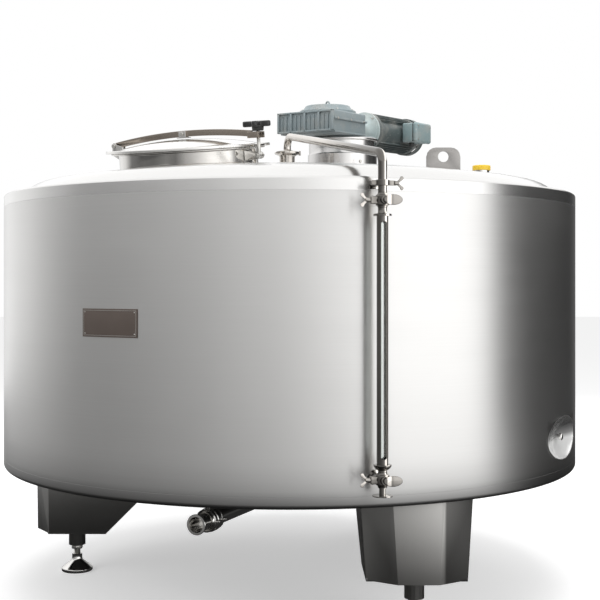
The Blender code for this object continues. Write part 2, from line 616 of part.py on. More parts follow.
def clamp_arm(lid_frame, crown_z):
    """An arched flat bar on edge, with an eye at the hinge and a fork round the clamp bolt."""
    start, stop = -HINGE_REACH, BOLT_REACH + FORK_END
    stations = [start + (stop - 0.034 - start) * i / 12 for i in range(13)]
    upper = [(x, arm_height(x) + ARM_H / 2) for x in stations[1:]]
    lower = [(x, arm_height(x) - ARM_H / 2) for x in reversed(stations[1:])]
    eye = arc((start, HINGE_Z), ARM_H / 2, 275, 85, 8)
    arm = plate("lid_arm", list(reversed(upper + lower + eye)), ARM_T)
    place(arm, lid_frame, turn=(math.pi / 2, 0, 0))
    hole = cylinder("arm_eye_hole", PIN_R + GAP, -0.02, 0.02, ROUND_PIN, helper=True)
    place(hole, lid_frame, (start, 0, HINGE_Z), (math.pi / 2, 0, 0))
    top = arm_height(stop)
    fork = block("arm_fork", (stop - 0.042, -0.019, top - ARM_H / 2), (stop, 0.019, top + ARM_H / 2),
                 helper=True)
    slot = block("arm_slot", (BOLT_REACH - BOLT_R - 0.003, -BOLT_R - 0.001, top - 0.04),
                 (stop + 0.02, BOLT_R + 0.001, top + 0.04), helper=True)
    pin_x = -0.015
    cross = cylinder("clevis_hole", PIN_R + GAP, -0.02, 0.02, ROUND_PIN, helper=True)
    place(cross, lid_frame, (pin_x, 0, arm_height(pin_x)), (math.pi / 2, 0, 0))
    for helper in (fork, slot):
        place(helper, lid_frame)
    boolean(arm, "UNION", fork)
    boolean(arm, "DIFFERENCE", hole, slot, cross)
    finish(arm, (0.35, 0.30, 0.26), 0.3, smooth=False)

    height = arm_height(pin_x)
    ear = ARM_T / 2 + ARM_PLAY
    clevis = block("lid_clevis", (pin_x - 0.022, -ear - 0.005, crown_z + 2 * GAP),
                   (pin_x + 0.022, ear + 0.005, height - ARM_H / 2 - 0.0014))
    ears = []
    for side in (-1, 1):
        near, far = sorted((side * ear, side * (ear + CHEEK_T)))
        cheek = block(f"clevis_ear_{side}", (pin_x - 0.014, near, height - ARM_H / 2 - 0.004),
                      (pin_x + 0.014, far, height + 0.008), helper=True)
        ears.append(place(cheek, lid_frame))
    pin = cylinder("clevis_pin", PIN_R, -ear - 0.007, ear + 0.007, ROUND_PIN, helper=True)
    ears.append(place(pin, lid_frame, (pin_x, 0, height), (math.pi / 2, 0, 0)))
    boolean(place(clevis, lid_frame), "UNION", *ears)
    finish(clevis, roughness=0.15)


def hinge_bracket(seat):
    """Two gusset cheeks from the neck to the hinge pin, outside the lid's rim."""
    ear = ARM_T / 2 + ARM_PLAY
    x, z, r = -HINGE_REACH, HINGE_Z, 0.010
    neck = -NECK_R - GAP
    flange = -LID_R - 0.002
    rim_low = -FLANGE_T - 0.012
    outline = [(neck - 0.002, -0.052), (neck - 0.002, rim_low), (flange, rim_low), (flange, z - 0.004)]
    outline += arc((x, z), r, 20, 180, 6) + [(x - r, rim_low + 0.006), (neck - 0.012, -0.052)]
    cheeks = []
    for side in (-1, 1):
        cheek = plate(f"hinge_cheek_{side}", list(reversed(outline)), CHEEK_T, helper=True)
        cheeks.append(place(cheek, seat, (0, side * (ear + CHEEK_T / 2), 0), (math.pi / 2, 0, 0)))
    pad = block("hinge_bracket", (neck - 0.006, -ear - 0.004, -0.050),
                (neck - 0.0005, ear + 0.004, rim_low))
    pin = cylinder("hinge_pin", PIN_R, -ear - 0.008, ear + 0.008, ROUND_PIN, helper=True)
    place(pin, seat, (x, 0, z), (math.pi / 2, 0, 0))
    boolean(place(pad, seat), "UNION", *cheeks, pin)
    finish(pad, roughness=0.2, smooth=False)


def clamp_bolt(seat, lid_frame):
    """The swing bolt hangs on the arm's side of its pin, so its eye is open underneath."""
    neck = NECK_R + GAP
    tip = BOLT_REACH + 0.011
    ear = 0.0075
    rim_low = -FLANGE_T - 0.012
    cheeks = []
    outline = [(neck + 0.002, -0.049), (tip - 0.010, -0.045)]
    outline += arc((BOLT_REACH, BOLT_PIN_Z), 0.011, -60, 110, 6)
    outline += [(neck + 0.002, rim_low)]
    for side in (-1, 1):
        cheek = plate(f"bolt_cheek_{side}", outline, CHEEK_T, helper=True)
        cheeks.append(place(cheek, seat, (0, side * (ear + CHEEK_T / 2), 0), (math.pi / 2, 0, 0)))
    pad = block("bolt_bracket", (neck + 0.0008, -ear - 0.004, -0.048),
                (neck + 0.006, ear + 0.004, rim_low - 0.001))
    pin = cylinder("bolt_pin", PIN_R, -ear - 0.008, ear + 0.008, ROUND_PIN, helper=True)
    place(pin, seat, (BOLT_REACH, 0, BOLT_PIN_Z), (math.pi / 2, 0, 0))
    boolean(place(pad, seat), "UNION", *cheeks, pin)
    finish(pad, roughness=0.2, smooth=False)

    swing = frame_at("clamp_bolt_axis", Matrix.Translation((BOLT_REACH, 0, BOLT_PIN_Z)), lid_frame)
    rod = cylinder("swing_bolt", BOLT_R, 0.006, BOLT_LEN + KNOB_HUB_H + 0.004, ROUND_SMALL)
    eye = cylinder("bolt_eye", 0.0105, -0.006, 0.006, ROUND_SMALL, helper=True)
    place(eye, swing, turn=(math.pi / 2, 0, 0))
    hole = cylinder("bolt_eye_hole", PIN_R + 0.0013, -0.02, 0.02, ROUND_PIN, helper=True)
    place(hole, swing, turn=(math.pi / 2, 0, 0))
    mouth = block("bolt_eye_mouth", (-PIN_R - 0.0013, -0.02, -0.03), (PIN_R + 0.0013, 0.02, 0), helper=True)
    place(mouth, swing)
    boolean(place(rod, swing), "UNION", eye)
    boolean(rod, "DIFFERENCE", hole, mouth)
    finish(rod, roughness=0.15)

    knob_axis = frame_at("star_knob_axis", Matrix.Identity(4), swing)
    low, high = BOLT_LEN, BOLT_LEN + KNOB_HUB_H
    lobes = []
    for i in range(KNOB_LOBES * LOBE_STEPS):
        turn = 2 * math.pi * i / (KNOB_LOBES * LOBE_STEPS)
        r = KNOB_R * (0.80 + 0.20 * math.cos(KNOB_LOBES * turn))
        lobes.append((r * math.cos(turn), r * math.sin(turn)))
    knob = plate("star_knob", lobes, KNOB_H)
    place(knob, knob_axis, (0, 0, high + KNOB_H / 2 - 0.001))
    hub = place(cylinder("knob_hub", KNOB_HUB_R, low, high + 0.004, ROUND_SMALL, helper=True), knob_axis)
    hole = place(cylinder("knob_bore", BOLT_R + 0.0004, low - 0.01, high + 0.005, ROUND_PIN, helper=True),
                 knob_axis)
    boolean(knob, "UNION", hub)
    boolean(knob, "DIFFERENCE", hole)
    finish(knob, (0.02, 0.02, 0.02), 0.35, 0.0)


# ---------------------------------------------------------------- agitator drive
def drive_matrix():
    lean = Matrix.Rotation(DRIVE_LEAN, 4, "X")
    return Matrix.Translation((DRIVE_X, 0, head_z(DRIVE_X))) @ lean


def drive():
    """Local Z is the agitator's axis. In the turned frame local X is the motor's axis."""
    base = frame_at("drive_base", drive_matrix())
    turned = frame_at("drive_turn", Matrix.Rotation(DRIVE_TURN, 4, "Z"), base)
    bore = AGITATOR_R + RUNNING
    stand = lathe("drive_stand", [(STAND_R + 0.004, STAND_H), (STAND_R + 0.004, STAND_H - 0.010),
                                  (STAND_R - 0.004, STAND_H - 0.010), (STAND_R - 0.004, 0.060),
                                  (STAND_R, 0.058),
                                  (STAND_R, -0.014), (bore, -0.014), (bore, -0.009),
                                  (STAND_R - STAND_T, -0.009), (STAND_R - STAND_T, 0.050),
                                  (STAND_R - 0.004 - STAND_T, 0.052), (STAND_R - 0.004 - STAND_T, STAND_H)],
                  ROUND_VESSEL)
    finish(place(stand, base), roughness=0.12)

    low = STAND_H + GAP
    body_low, body_high = low + 0.006, low + 0.006 + GEARBOX_H
    axis_z = (body_low + body_high) / 2
    housing = block("gearbox_housing", (GEARBOX_END, -GEARBOX_W / 2, body_low),
                    (GEARBOX_END + GEARBOX_LEN, GEARBOX_W / 2, body_high))
    boss = place(cylinder("gearbox_round", COVER_R, body_low + 0.002, body_high - 0.001, ROUND_MID,
                          helper=True),
                 turned, (COVER_X, 0, 0))
    foot = place(cylinder("gearbox_boss", OUTPUT_BOSS_R, low + 0.004, axis_z, ROUND_MID, helper=True),
                 turned)
    flange = place(cylinder("gearbox_flange", STAND_R - 0.006, low, low + 0.005, ROUND_MID, helper=True),
                   turned)
    pad = place(block("gearbox_pad", (0, -ADAPTOR_R - 0.006, body_low + 0.003),
                      (OUTPUT_BOSS_R, ADAPTOR_R + 0.006, body_high - 0.003), helper=True), turned)
    shaft_hole = drilled("output_bore", bore, low - 0.01, axis_z - 0.008, steps=ROUND_SMALL)
    shaft_hole.parent = turned
    motor_hole = along_motor(drilled("motor_bore", MOTOR_SHAFT_R + RUNNING, 0.020, 0.100,
                                     steps=ROUND_SMALL),
                             turned, axis_z)
    boolean(place(housing, turned), "UNION", boss, foot, flange, pad)
    boolean(housing, "DIFFERENCE", shaft_hole, motor_hole)
    paint = (0.30, 0.36, 0.37)
    finish(housing, paint, 0.45, 0.0, smooth=False)

    cover = lathe("gearbox_cover", [(0, body_high + COVER_H), (COVER_R - 0.022, body_high + COVER_H),
                                    (COVER_R - 0.014, body_high + COVER_H - 0.008),
                                    (COVER_R - 0.010, body_high + 0.012),
                                    (COVER_R, body_high + 0.010), (COVER_R, body_high + GAP),
                                    (0, body_high + GAP)], ROUND_MID)
    eye_z = body_high + COVER_H + EYE_R + EYE_WIRE_R - 0.001
    loop = [(EYE_R * math.cos(t), EYE_R * math.sin(t)) for t in
            (2 * math.pi * i / ROUND_PIN for i in range(ROUND_PIN))]
    eye = torus("lifting_eye", loop, EYE_WIRE_R)
    foot_low = body_high + COVER_H - 0.002
    pad = cylinder("eye_foot", EYE_FOOT_R, foot_low, foot_low + 0.005, ROUND_PIN, helper=True)
    place(eye, cover, (0, 0, eye_z), (math.pi / 2, 0, EYE_TURN))
    place(pad, cover)
    boolean(place(cover, turned, (COVER_X, 0, 0)), "UNION", pad, eye)
    finish(cover, paint, 0.45, 0.0)

    side = GEARBOX_END + GEARBOX_LEN
    hole = MOTOR_SHAFT_R + RUNNING
    neck_start = OUTPUT_BOSS_R + GAP
    adaptor = lathe("motor_adaptor", [(MOTOR_R, BELL_END), (MOTOR_R, BELL_END - 0.010),
                                      (MOTOR_R - 0.008, BELL_END - 0.012),
                                      (ADAPTOR_R, BELL_END - 0.022), (ADAPTOR_R, neck_start),
                                      (hole, neck_start),
                                      (hole, BELL_END)], ROUND_MID)
    finish(along_motor(adaptor, turned, axis_z), (0.45, 0.50, 0.50), 0.45, 0.0)

    motor = lathe("motor_housing", ring(MOTOR_R, hole, MOTOR_END, BELL_END + GAP), ROUND_MID)
    finish(along_motor(motor, turned, axis_z), (0.10, 0.12, 0.12), 0.5, 0.0)
    seat_y = -MOTOR_R + 0.012
    box = block("terminal_box", (TERMINAL_X - TERMINAL_LEN / 2, seat_y - TERMINAL_DEPTH,
                                 axis_z - TERMINAL_H / 2 + 0.004),
                (TERMINAL_X + TERMINAL_LEN / 2, seat_y - 0.004, axis_z + TERMINAL_H / 2 + 0.004), 0.006)
    flat = block("terminal_flat", (TERMINAL_X - TERMINAL_LEN / 2 - 0.004, -2 * MOTOR_R,
                                   axis_z - TERMINAL_H),
                 (TERMINAL_X + TERMINAL_LEN / 2 + 0.004, seat_y - 0.004 + GAP, axis_z + TERMINAL_H),
                 helper=True)
    flat.parent = turned
    boolean(motor, "DIFFERENCE", flat)
    finish(place(box, turned), paint, 0.4, 0.0)

    cowl_start = MOTOR_END + GAP
    cowl = lathe("fan_cowl", [(COWL_R, cowl_start), (COWL_R - COWL_T, cowl_start),
                              (COWL_R - COWL_T, COWL_END - 0.012),
                              (COWL_R - 0.014, COWL_END - COWL_T), (0.020, COWL_END - COWL_T),
                              (0.020, COWL_END),
                              (COWL_R - 0.013, COWL_END), (COWL_R, COWL_END - 0.011)], ROUND_MID)
    finish(along_motor(cowl, turned, axis_z), (0.10, 0.12, 0.12), 0.45, 0.0)
    spin = frame_at("motor_axis", Matrix.Translation((0, 0, axis_z)) @ Matrix.Rotation(math.pi / 2, 4, "Y"),
                    turned)
    fan_low, fan_high = COWL_END - 0.034, COWL_END - 0.014
    shaft = lathe("motor_shaft", [(0, fan_high), (0.016, fan_high), (0.016, fan_low),
                                  (MOTOR_SHAFT_R, fan_low),
                                  (MOTOR_SHAFT_R, 0.024), (0, 0.024)], ROUND_SMALL)
    blades = []
    for i in range(3):
        blade = block(f"fan_blade_{i}", (-FAN_R, -0.0015, fan_low + 0.002),
                      (FAN_R, 0.0015, fan_high - 0.002), helper=True)
        blades.append(place(blade, spin, turn=(0, 0, math.pi * i / 3)))
    boolean(place(shaft, spin), "UNION", *blades)
    finish(shaft, roughness=0.3, smooth=False)
    agitator(base, axis_z - 0.010)


def along_motor(obj, turned, axis_z):
    """Turns a piece made about Z so that its Z runs along the motor's axis."""
    return place(obj, turned, (0, 0, axis_z), (0, math.pi / 2, 0))


def agitator(base, shaft_top):
    drop = (head_z(DRIVE_X) - VESSEL_LOW + FLOOR_FALL) / math.cos(DRIVE_LEAN) - AGITATOR_CLEAR
    axis = frame_at("agitator_axis", Matrix.Identity(4), base)
    shaft = cylinder("agitator_shaft", AGITATOR_R, -drop, shaft_top, ROUND_SMALL)
    finish(place(shaft, axis), roughness=0.15)
    hub_low = -drop + 0.010
    hub = lathe("agitator_paddle", ring(0.030, AGITATOR_R + GAP, hub_low + PADDLE_H * 0.9, hub_low),
                ROUND_SMALL)
    wings = []
    for side in (-1, 1):
        wing = block(f"paddle_wing_{side}", (0.024, -PADDLE_T / 2, -PADDLE_H / 2),
                     (PADDLE_R, PADDLE_T / 2, PADDLE_H / 2), helper=True)
        place(wing, axis, (0, 0, hub_low + PADDLE_H * 0.45), (PADDLE_PITCH, 0, math.pi / 2 * side))
        wings.append(wing)
    boolean(place(hub, axis), "UNION", *wings)
    finish(hub, roughness=0.2, smooth=False)


# ---------------------------------------------------------------- level gauge
def wing_nut(name, parent, at, turn):
    """A hub with two splayed wings, about local Z."""
    axis = frame_at(f"{name}_axis", Matrix.Translation(at) @ turn.to_4x4(), parent)
    hub = cylinder(name, 0.007, 0.001, 0.013, ROUND_PIN)
    bore = place(cylinder(f"{name}_bore", 0.0035, -0.01, 0.02, ROUND_PIN, helper=True), axis)
    wings = []
    for side in (-1, 1):
        wing = block(f"{name}_wing_{side}", (0.0048, -0.0015, -0.005), (0.024, 0.0015, 0.006), helper=True)
        tilt = Matrix.Rotation(math.pi / 2 * (1 - side), 4, "Z") @ Matrix.Rotation(math.radians(-40), 4,
                                                                                   "Y")
        wing.parent = axis
        wing.matrix_local = Matrix.Translation((0, 0, 0.010)) @ tilt
        wings.append(wing)
    boolean(place(hub, axis), "UNION", *wings)
    boolean(hub, "DIFFERENCE", bore)
    finish(hub, roughness=0.15, smooth=False)


def paddle_handle(name, parent, at, turn):
    """A stub and an oval paddle, which turns about the plug's axis."""
    axis = frame_at(f"{name}_axis", Matrix.Translation(at) @ turn.to_4x4(), parent)
    oval = [(0.0195 + 0.0265 * math.cos(t), 0.0145 * math.sin(t)) for t in
            (2 * math.pi * i / ROUND_SMALL for i in range(ROUND_SMALL))]
    handle = plate(name, oval, 0.005)
    stem = place(cylinder(f"{name}_stem", HANDLE_STEM_R, 0, HANDLE_STEM_H, ROUND_PIN, helper=True), axis)
    bridge = place(block(f"{name}_bridge", (0, -0.005, 0.002), (0.012, 0.005, 0.0062), helper=True), axis)
    boolean(place(handle, axis, (0, 0, 0.004)), "UNION", stem, bridge)
    finish(handle, roughness=0.2, smooth=False)


def cock(name, axis, centre, up, down, extras):
    """A plug cock in the gauge's line, with a clamp bolt to the left and a flat front boss."""
    profile = [(0, up[-1][1])] + up + [(PIPE_R, centre + 0.020), (COCK_R, centre + 0.015),
                                       (COCK_R, centre - 0.015),
                                       (PIPE_R, centre - 0.020)] + down + [(0, down[-1][1])]
    body = place(lathe(name, profile, ROUND_SMALL), axis)
    boss = place(cylinder(f"{name}_boss", 0.012, 0, COCK_R + BOSS_PROUD, ROUND_SMALL, helper=True), axis,
                 (0, 0, centre),
                 (math.pi / 2, 0, 0))
    bolt = place(cylinder(f"{name}_bolt", 0.003, 0, COCK_R + 0.028, ROUND_PIN, helper=True), axis,
                 (0, 0, centre),
                 (0, -math.pi / 2, 0))
    ear = place(block(f"{name}_ear", (-COCK_R - 0.016, -0.008, centre - 0.011),
                      (-0.010, 0.008, centre + 0.011), helper=True), axis)
    boolean(body, "UNION", boss, ear, bolt, *extras)
    finish(body, roughness=0.15)
    side = Matrix.Rotation(-math.pi / 2, 3, "Y")
    wing_nut(f"{name}_wing", axis, (-COCK_R - 0.016, 0, centre), side)
    front = Matrix.Rotation(math.pi / 2, 3, "X")
    paddle_handle(f"{name}_handle", axis, (0, -COCK_R - BOSS_PROUD - GAP, centre), front)


def gauge():
    """Local -Y points away from the tank, local X to the right seen from the front."""
    place_at = bearing(GAUGE_AZ, GAUGE_R, BASE_Z)
    axis = frame_at("gauge_axis", Matrix.Translation(place_at) @ Matrix.Rotation(GAUGE_AZ, 4, "Z"))
    guard = place(lathe("guard_tube", ring(GUARD_R, GUARD_R - GUARD_T, GUARD_HIGH, GUARD_LOW), ROUND_MID),
                  axis)
    window = block("guard_window", (-WINDOW_W / 2, -0.03, GUARD_LOW + WINDOW_LAND),
                   (WINDOW_W / 2, 0.03, GUARD_HIGH - WINDOW_LAND), helper=True)
    boolean(guard, "DIFFERENCE", place(window, axis))
    finish(guard, roughness=0.12)
    glass = lathe("sight_glass", ring(GLASS_R, GLASS_R - GLASS_T, GUARD_HIGH - GAP, GUARD_LOW + GAP),
                  ROUND_SMALL)
    finish(place(glass, axis), (0.85, 0.90, 0.88), 0.05, 0.0, alpha=0.35)

    ferrule = GUARD_HIGH + GAP
    pipe_start = COCK_HIGH + 0.034
    cock("upper_cock", axis, COCK_HIGH, [(PIPE_R, pipe_start - GAP)],
         [(PIPE_R, ferrule + FERRULE_T + 0.006), (FERRULE_R, ferrule + FERRULE_T), (FERRULE_R, ferrule)],
         [])
    bowl = GUARD_LOW - GAP
    cock("lower_cock", axis, COCK_LOW, [(FERRULE_R, bowl), (FERRULE_R, bowl - 0.003),
                                        (0.8 * FERRULE_R, bowl - 0.011), (PIPE_R, bowl - 0.016)],
         [(DRAIN_R, COCK_LOW - 0.022), (DRAIN_R, DRAIN_FOOT_Z + 0.003), (DRAIN_FOOT_R, DRAIN_FOOT_Z + 0.003),
          (DRAIN_FOOT_R, DRAIN_FOOT_Z)], [])
    start = VESSEL_R + GAP
    nozzle = cylinder("gauge_nozzle", 0.010, 0, GAUGE_R - COCK_R - GAP - start, ROUND_SMALL)
    nozzle.matrix_world = outward(GAUGE_AZ, start, BASE_Z + COCK_LOW)
    finish(nozzle, roughness=0.2)
    pipe_clamp(axis)
    balance_line(axis, pipe_start)


def pipe_clamp(axis):
    clamp = lathe("pipe_clamp", ring(PIPE_R + 0.007, PIPE_R + GAP, CLAMP_Z + 0.008, CLAMP_Z - 0.008),
                  ROUND_SMALL)
    wall = GAUGE_OFF - 0.0005
    arm = block("clamp_arm", (-0.006, PIPE_R + 0.004, CLAMP_Z - 0.006),
                (0.006, wall - 0.002, CLAMP_Z + 0.006), helper=True)
    pad = block("clamp_pad", (-0.018, wall - 0.006, CLAMP_Z - 0.012),
                (0.018, wall - 0.0025, CLAMP_Z + 0.012), helper=True)
    ear = block("clamp_ear", (PIPE_R + 0.004, -0.004, CLAMP_Z - 0.007),
                (PIPE_R + 0.020, 0.004, CLAMP_Z + 0.007), helper=True)
    screw = cylinder("clamp_screw", 0.003, PIPE_R + 0.01, PIPE_R + 0.032, ROUND_PIN, helper=True)
    place(screw, axis, (0, 0, CLAMP_Z), (0, math.pi / 2, 0))
    left = block("clamp_left", (-PIPE_R - 0.020, -0.005, CLAMP_Z - 0.007),
                 (-PIPE_R - 0.004, 0.005, CLAMP_Z + 0.007), helper=True)
    for helper in (arm, pad, ear, left):
        place(helper, axis)
    boolean(place(clamp, axis), "UNION", arm, pad, ear, screw, left)
    finish(clamp, roughness=0.15, smooth=False)
    wing_nut("clamp_wing", axis, (PIPE_R + 0.020, 0, CLAMP_Z), Matrix.Rotation(math.pi / 2, 3, "Y"))


def balance_line(axis, start):
    """The air pipe from the gauge's top over the rim to a clamped nozzle on the head."""
    bottom = bearing(GAUGE_AZ, GAUGE_R, BASE_Z + start)
    seat_z = head_z(math.hypot(BALANCE_X, BALANCE_Y)) + 0.038
    joint_z = seat_z + 0.012
    corner = Vector((bottom.x, bottom.y, RIM_Z + BALANCE_RISE))
    over = Vector((BALANCE_X, BALANCE_Y, seat_z + 0.058))
    end = Vector((BALANCE_X, BALANCE_Y, joint_z))
    pipe = tube("balance_pipe", rounded_route([bottom, corner, over, end], PIPE_BEND), PIPE_R, PIPE_T)
    finish(pipe, roughness=0.12)
    nozzle = lathe("balance_nozzle", [(BALANCE_FERRULE_R, seat_z), (BALANCE_FERRULE_R, seat_z - 0.005),
                                      (BALANCE_R, seat_z - 0.012), (BALANCE_R, seat_z - 0.060),
                                      (BALANCE_R - 0.003, seat_z - 0.060), (BALANCE_R - 0.003, seat_z)],
                   ROUND_SMALL)
    finish(place(nozzle, at=(BALANCE_X, BALANCE_Y, 0)), roughness=0.15)
    reducer = lathe("balance_reducer", [(PIPE_R, joint_z - GAP), (PIPE_R + 0.008, seat_z + 0.007),
                                        (BALANCE_FERRULE_R, seat_z + 0.005),
                                        (BALANCE_FERRULE_R, seat_z + GAP),
                                        (PIPE_R - PIPE_T, seat_z + GAP), (PIPE_R - PIPE_T, joint_z - GAP)],
                    ROUND_SMALL)
    finish(place(reducer, at=(BALANCE_X, BALANCE_Y, 0)), roughness=0.15)


# ---------------------------------------------------------------- fittings on the head
def head_fittings():
    depth = RIM_Z - 4 * TOP_SKIRT
    skin = [(r, z + GAP) for r, z in head_outline(0)]
    under = lathe("under_head", skin + [(VESSEL_R, depth), (0, depth)], ROUND_BIG, helper=True)
    for name, azimuth in (("lug_front", LUG_AZ), ("lug_rear", LUG_AZ + math.pi)):
        w, r, foot = LUG_W / 2, LUG_CORNER_R, -LUG_H / 2
        outline = [(-w, foot), (w, foot), (w, LUG_H - r)] + arc((w - r, LUG_H - r), r, 30, 90, 3)
        outline += arc((-w + r, LUG_H - r), r, 90, 150, 3) + [(-w, LUG_H - r)]
        lug = plate(name, outline, LUG_T)
        hole = cylinder(f"{name}_hole", LUG_HOLE_R, -0.02, 0.02, ROUND_SMALL, helper=True)
        hole.parent = lug
        hole.location = (0, LUG_H - LUG_HOLE_DROP, 0)
        turn = 0 if name == "lug_front" else math.pi
        place(lug, at=bearing(azimuth, LUG_R, head_z(LUG_R)), turn=(math.pi / 2, 0, turn))
        boolean(lug, "DIFFERENCE", hole, under)
        finish(lug, roughness=0.25, smooth=False)
    r = math.hypot(PORT_X, PORT_Y)
    seat = head_z(r - PORT_R) + 0.024
    port = lathe("service_port", ring(PORT_R, PORT_R - 0.003, seat, seat - 0.055), ROUND_SMALL)
    finish(place(port, at=(PORT_X, PORT_Y, 0)), roughness=0.15)
    cap_axis = frame_at("port_cap_axis", Matrix.Translation((PORT_X, PORT_Y, 0)))
    inside = PORT_R + 0.0005
    cap = lathe("port_cap", [(0, seat + 0.004), (CAP_R - 0.003, seat + 0.004), (CAP_R, seat + 0.001),
                             (CAP_R, seat + 0.004 - CAP_H), (inside, seat + 0.004 - CAP_H),
                             (inside, seat + GAP),
                             (0, seat + GAP)], ROUND_SMALL)
    finish(place(cap, cap_axis), (0.85, 0.62, 0.05), 0.45, 0.0)


# ---------------------------------------------------------------- outlet
def outlet():
    way = bearing(OUTLET_AZ, 1, 0)
    top = Vector((0, 0, VESSEL_LOW - FLOOR_FALL))
    corner = Vector((0, 0, OUTLET_Z))
    end = corner + way * OUTLET_RUN
    pipe = tube("outlet_pipe", rounded_route([top, corner, end], OUTLET_BEND), OUTLET_R, OUTLET_T, 4)
    bore = OUTLET_R - OUTLET_T + 0.0003
    ferrule = lathe("outlet_ferrule_in", ring(OUTLET_FERRULE_R, bore, 0, -0.006), ROUND_MID, helper=True)
    ferrule.matrix_world = outward(OUTLET_AZ, OUTLET_RUN, OUTLET_Z)
    boolean(pipe, "UNION", ferrule)
    finish(pipe, roughness=0.15)

    body = lathe("outlet_valve", [(VALVE_R, VALVE_LEN - 0.010), (VALVE_R, 0.010), (OUTLET_FERRULE_R, 0.010),
                                  (OUTLET_FERRULE_R, GAP), (bore, GAP), (bore, VALVE_LEN - GAP),
                                  (OUTLET_FERRULE_R, VALVE_LEN - GAP),
                                  (OUTLET_FERRULE_R, VALVE_LEN - 0.010)], ROUND_MID)
    body.matrix_world = outward(OUTLET_AZ, OUTLET_RUN, OUTLET_Z)
    stem_hole = cylinder("stem_hole", STEM_R + 0.0005, 0, 0.1, ROUND_SMALL, helper=True)
    boss = cylinder("stem_boss", 0.012, VALVE_R - 0.008, VALVE_R + 0.010, ROUND_SMALL, helper=True)
    middle = corner + way * (OUTLET_RUN + VALVE_LEN / 2)
    axis = frame_at("outlet_valve_axis", Matrix.Translation(middle) @ Matrix.Rotation(OUTLET_AZ, 4, "Z"))
    for helper in (stem_hole, boss):
        place(helper, axis)
    boolean(body, "UNION", boss)
    boolean(body, "DIFFERENCE", stem_hole)
    finish(body, roughness=0.15)

    disc = cylinder("valve_disc", bore - 0.0006, -DISC_T / 2, DISC_T / 2, ROUND_MID)
    place(disc, axis, turn=(math.pi / 2, 0, 0))
    stem = place(cylinder("valve_stem", STEM_R, 0.010, VALVE_R + 0.016, ROUND_PIN, helper=True), axis)
    boolean(disc, "UNION", stem)
    finish(disc, roughness=0.2)
    lever = block("valve_lever", (-0.012, -0.010, VALVE_R + 0.016 + GAP),
                  (LEVER_LEN, 0.010, VALVE_R + 0.022), 0.001)
    finish(place(lever, axis), (0.12, 0.12, 0.12), 0.4, 0.0, smooth=False)

    start = OUTLET_RUN + VALVE_LEN
    tail = lathe("outlet_tail", [(OUTLET_FERRULE_R, TAIL_LEN), (OUTLET_FERRULE_R, TAIL_LEN - 0.006),
                                 (OUTLET_R, TAIL_LEN - 0.009), (OUTLET_R, 0.009), (OUTLET_FERRULE_R, 0.006),
                                 (OUTLET_FERRULE_R, GAP), (bore, GAP), (bore, TAIL_LEN)], ROUND_MID)
    tail.matrix_world = outward(OUTLET_AZ, start, OUTLET_Z)
    finish(tail, roughness=0.15)


def main():
    start()
    shell()
    vessel()
    coolant_ports()
    side_fittings()
    legs()
    manway()
    drive()
    gauge()
    head_fittings()
    outlet()


main()
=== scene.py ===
"""Looks of the bulk milk tank: finishes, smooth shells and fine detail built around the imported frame.

Metres, +Z up, with the tank's axis at the origin and -Y its front. Each class builds one sub-assembly
in the frame's own coordinates, so a piece stands where its solid in the frame does.
"""

from __future__ import annotations

import logging
import math
from collections.abc import Iterable, Iterator, Sequence
from contextlib import contextmanager
from dataclasses import dataclass
from enum import Enum
from typing import Any

import bpy
from mathutils import Matrix, Vector

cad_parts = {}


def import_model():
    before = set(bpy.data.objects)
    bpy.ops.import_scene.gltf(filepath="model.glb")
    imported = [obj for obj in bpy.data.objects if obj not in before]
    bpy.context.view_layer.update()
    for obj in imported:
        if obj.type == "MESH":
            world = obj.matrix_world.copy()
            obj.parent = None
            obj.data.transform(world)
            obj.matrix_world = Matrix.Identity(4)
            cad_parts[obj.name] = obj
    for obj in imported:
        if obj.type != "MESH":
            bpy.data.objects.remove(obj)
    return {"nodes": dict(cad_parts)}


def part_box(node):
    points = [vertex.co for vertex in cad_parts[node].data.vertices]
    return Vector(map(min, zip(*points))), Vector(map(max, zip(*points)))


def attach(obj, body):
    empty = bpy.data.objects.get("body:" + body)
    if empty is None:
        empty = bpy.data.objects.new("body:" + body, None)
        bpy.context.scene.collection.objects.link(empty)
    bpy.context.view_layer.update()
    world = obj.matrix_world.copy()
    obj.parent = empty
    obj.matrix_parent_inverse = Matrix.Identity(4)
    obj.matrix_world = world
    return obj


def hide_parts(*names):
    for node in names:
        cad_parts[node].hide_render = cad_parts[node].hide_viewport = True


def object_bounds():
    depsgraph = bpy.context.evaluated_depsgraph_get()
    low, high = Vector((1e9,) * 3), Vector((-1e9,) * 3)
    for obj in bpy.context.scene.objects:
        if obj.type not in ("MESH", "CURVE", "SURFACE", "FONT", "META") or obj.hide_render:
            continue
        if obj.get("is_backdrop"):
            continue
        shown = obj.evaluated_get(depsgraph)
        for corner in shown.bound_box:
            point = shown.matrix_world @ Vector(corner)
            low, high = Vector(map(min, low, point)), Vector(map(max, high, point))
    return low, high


log = logging.getLogger("milk_tank")

Colour = tuple[float, float, float]
Profile = Sequence[tuple[float, float]]
Number = "Field | float"
Finishes = dict[str, tuple[bpy.types.Material, str]]

ROUND_LARGE, ROUND_MEDIUM, ROUND_FINE, ROUND_TINY = 192, 96, 48, 24  # sides of turned pieces
GAP = 0.0003  # between pieces that touch
WELD_R = 0.0022  # of the fillet beads
X, Y, Z = Vector((1, 0, 0)), Vector((0, 1, 0)), Vector((0, 0, 1))


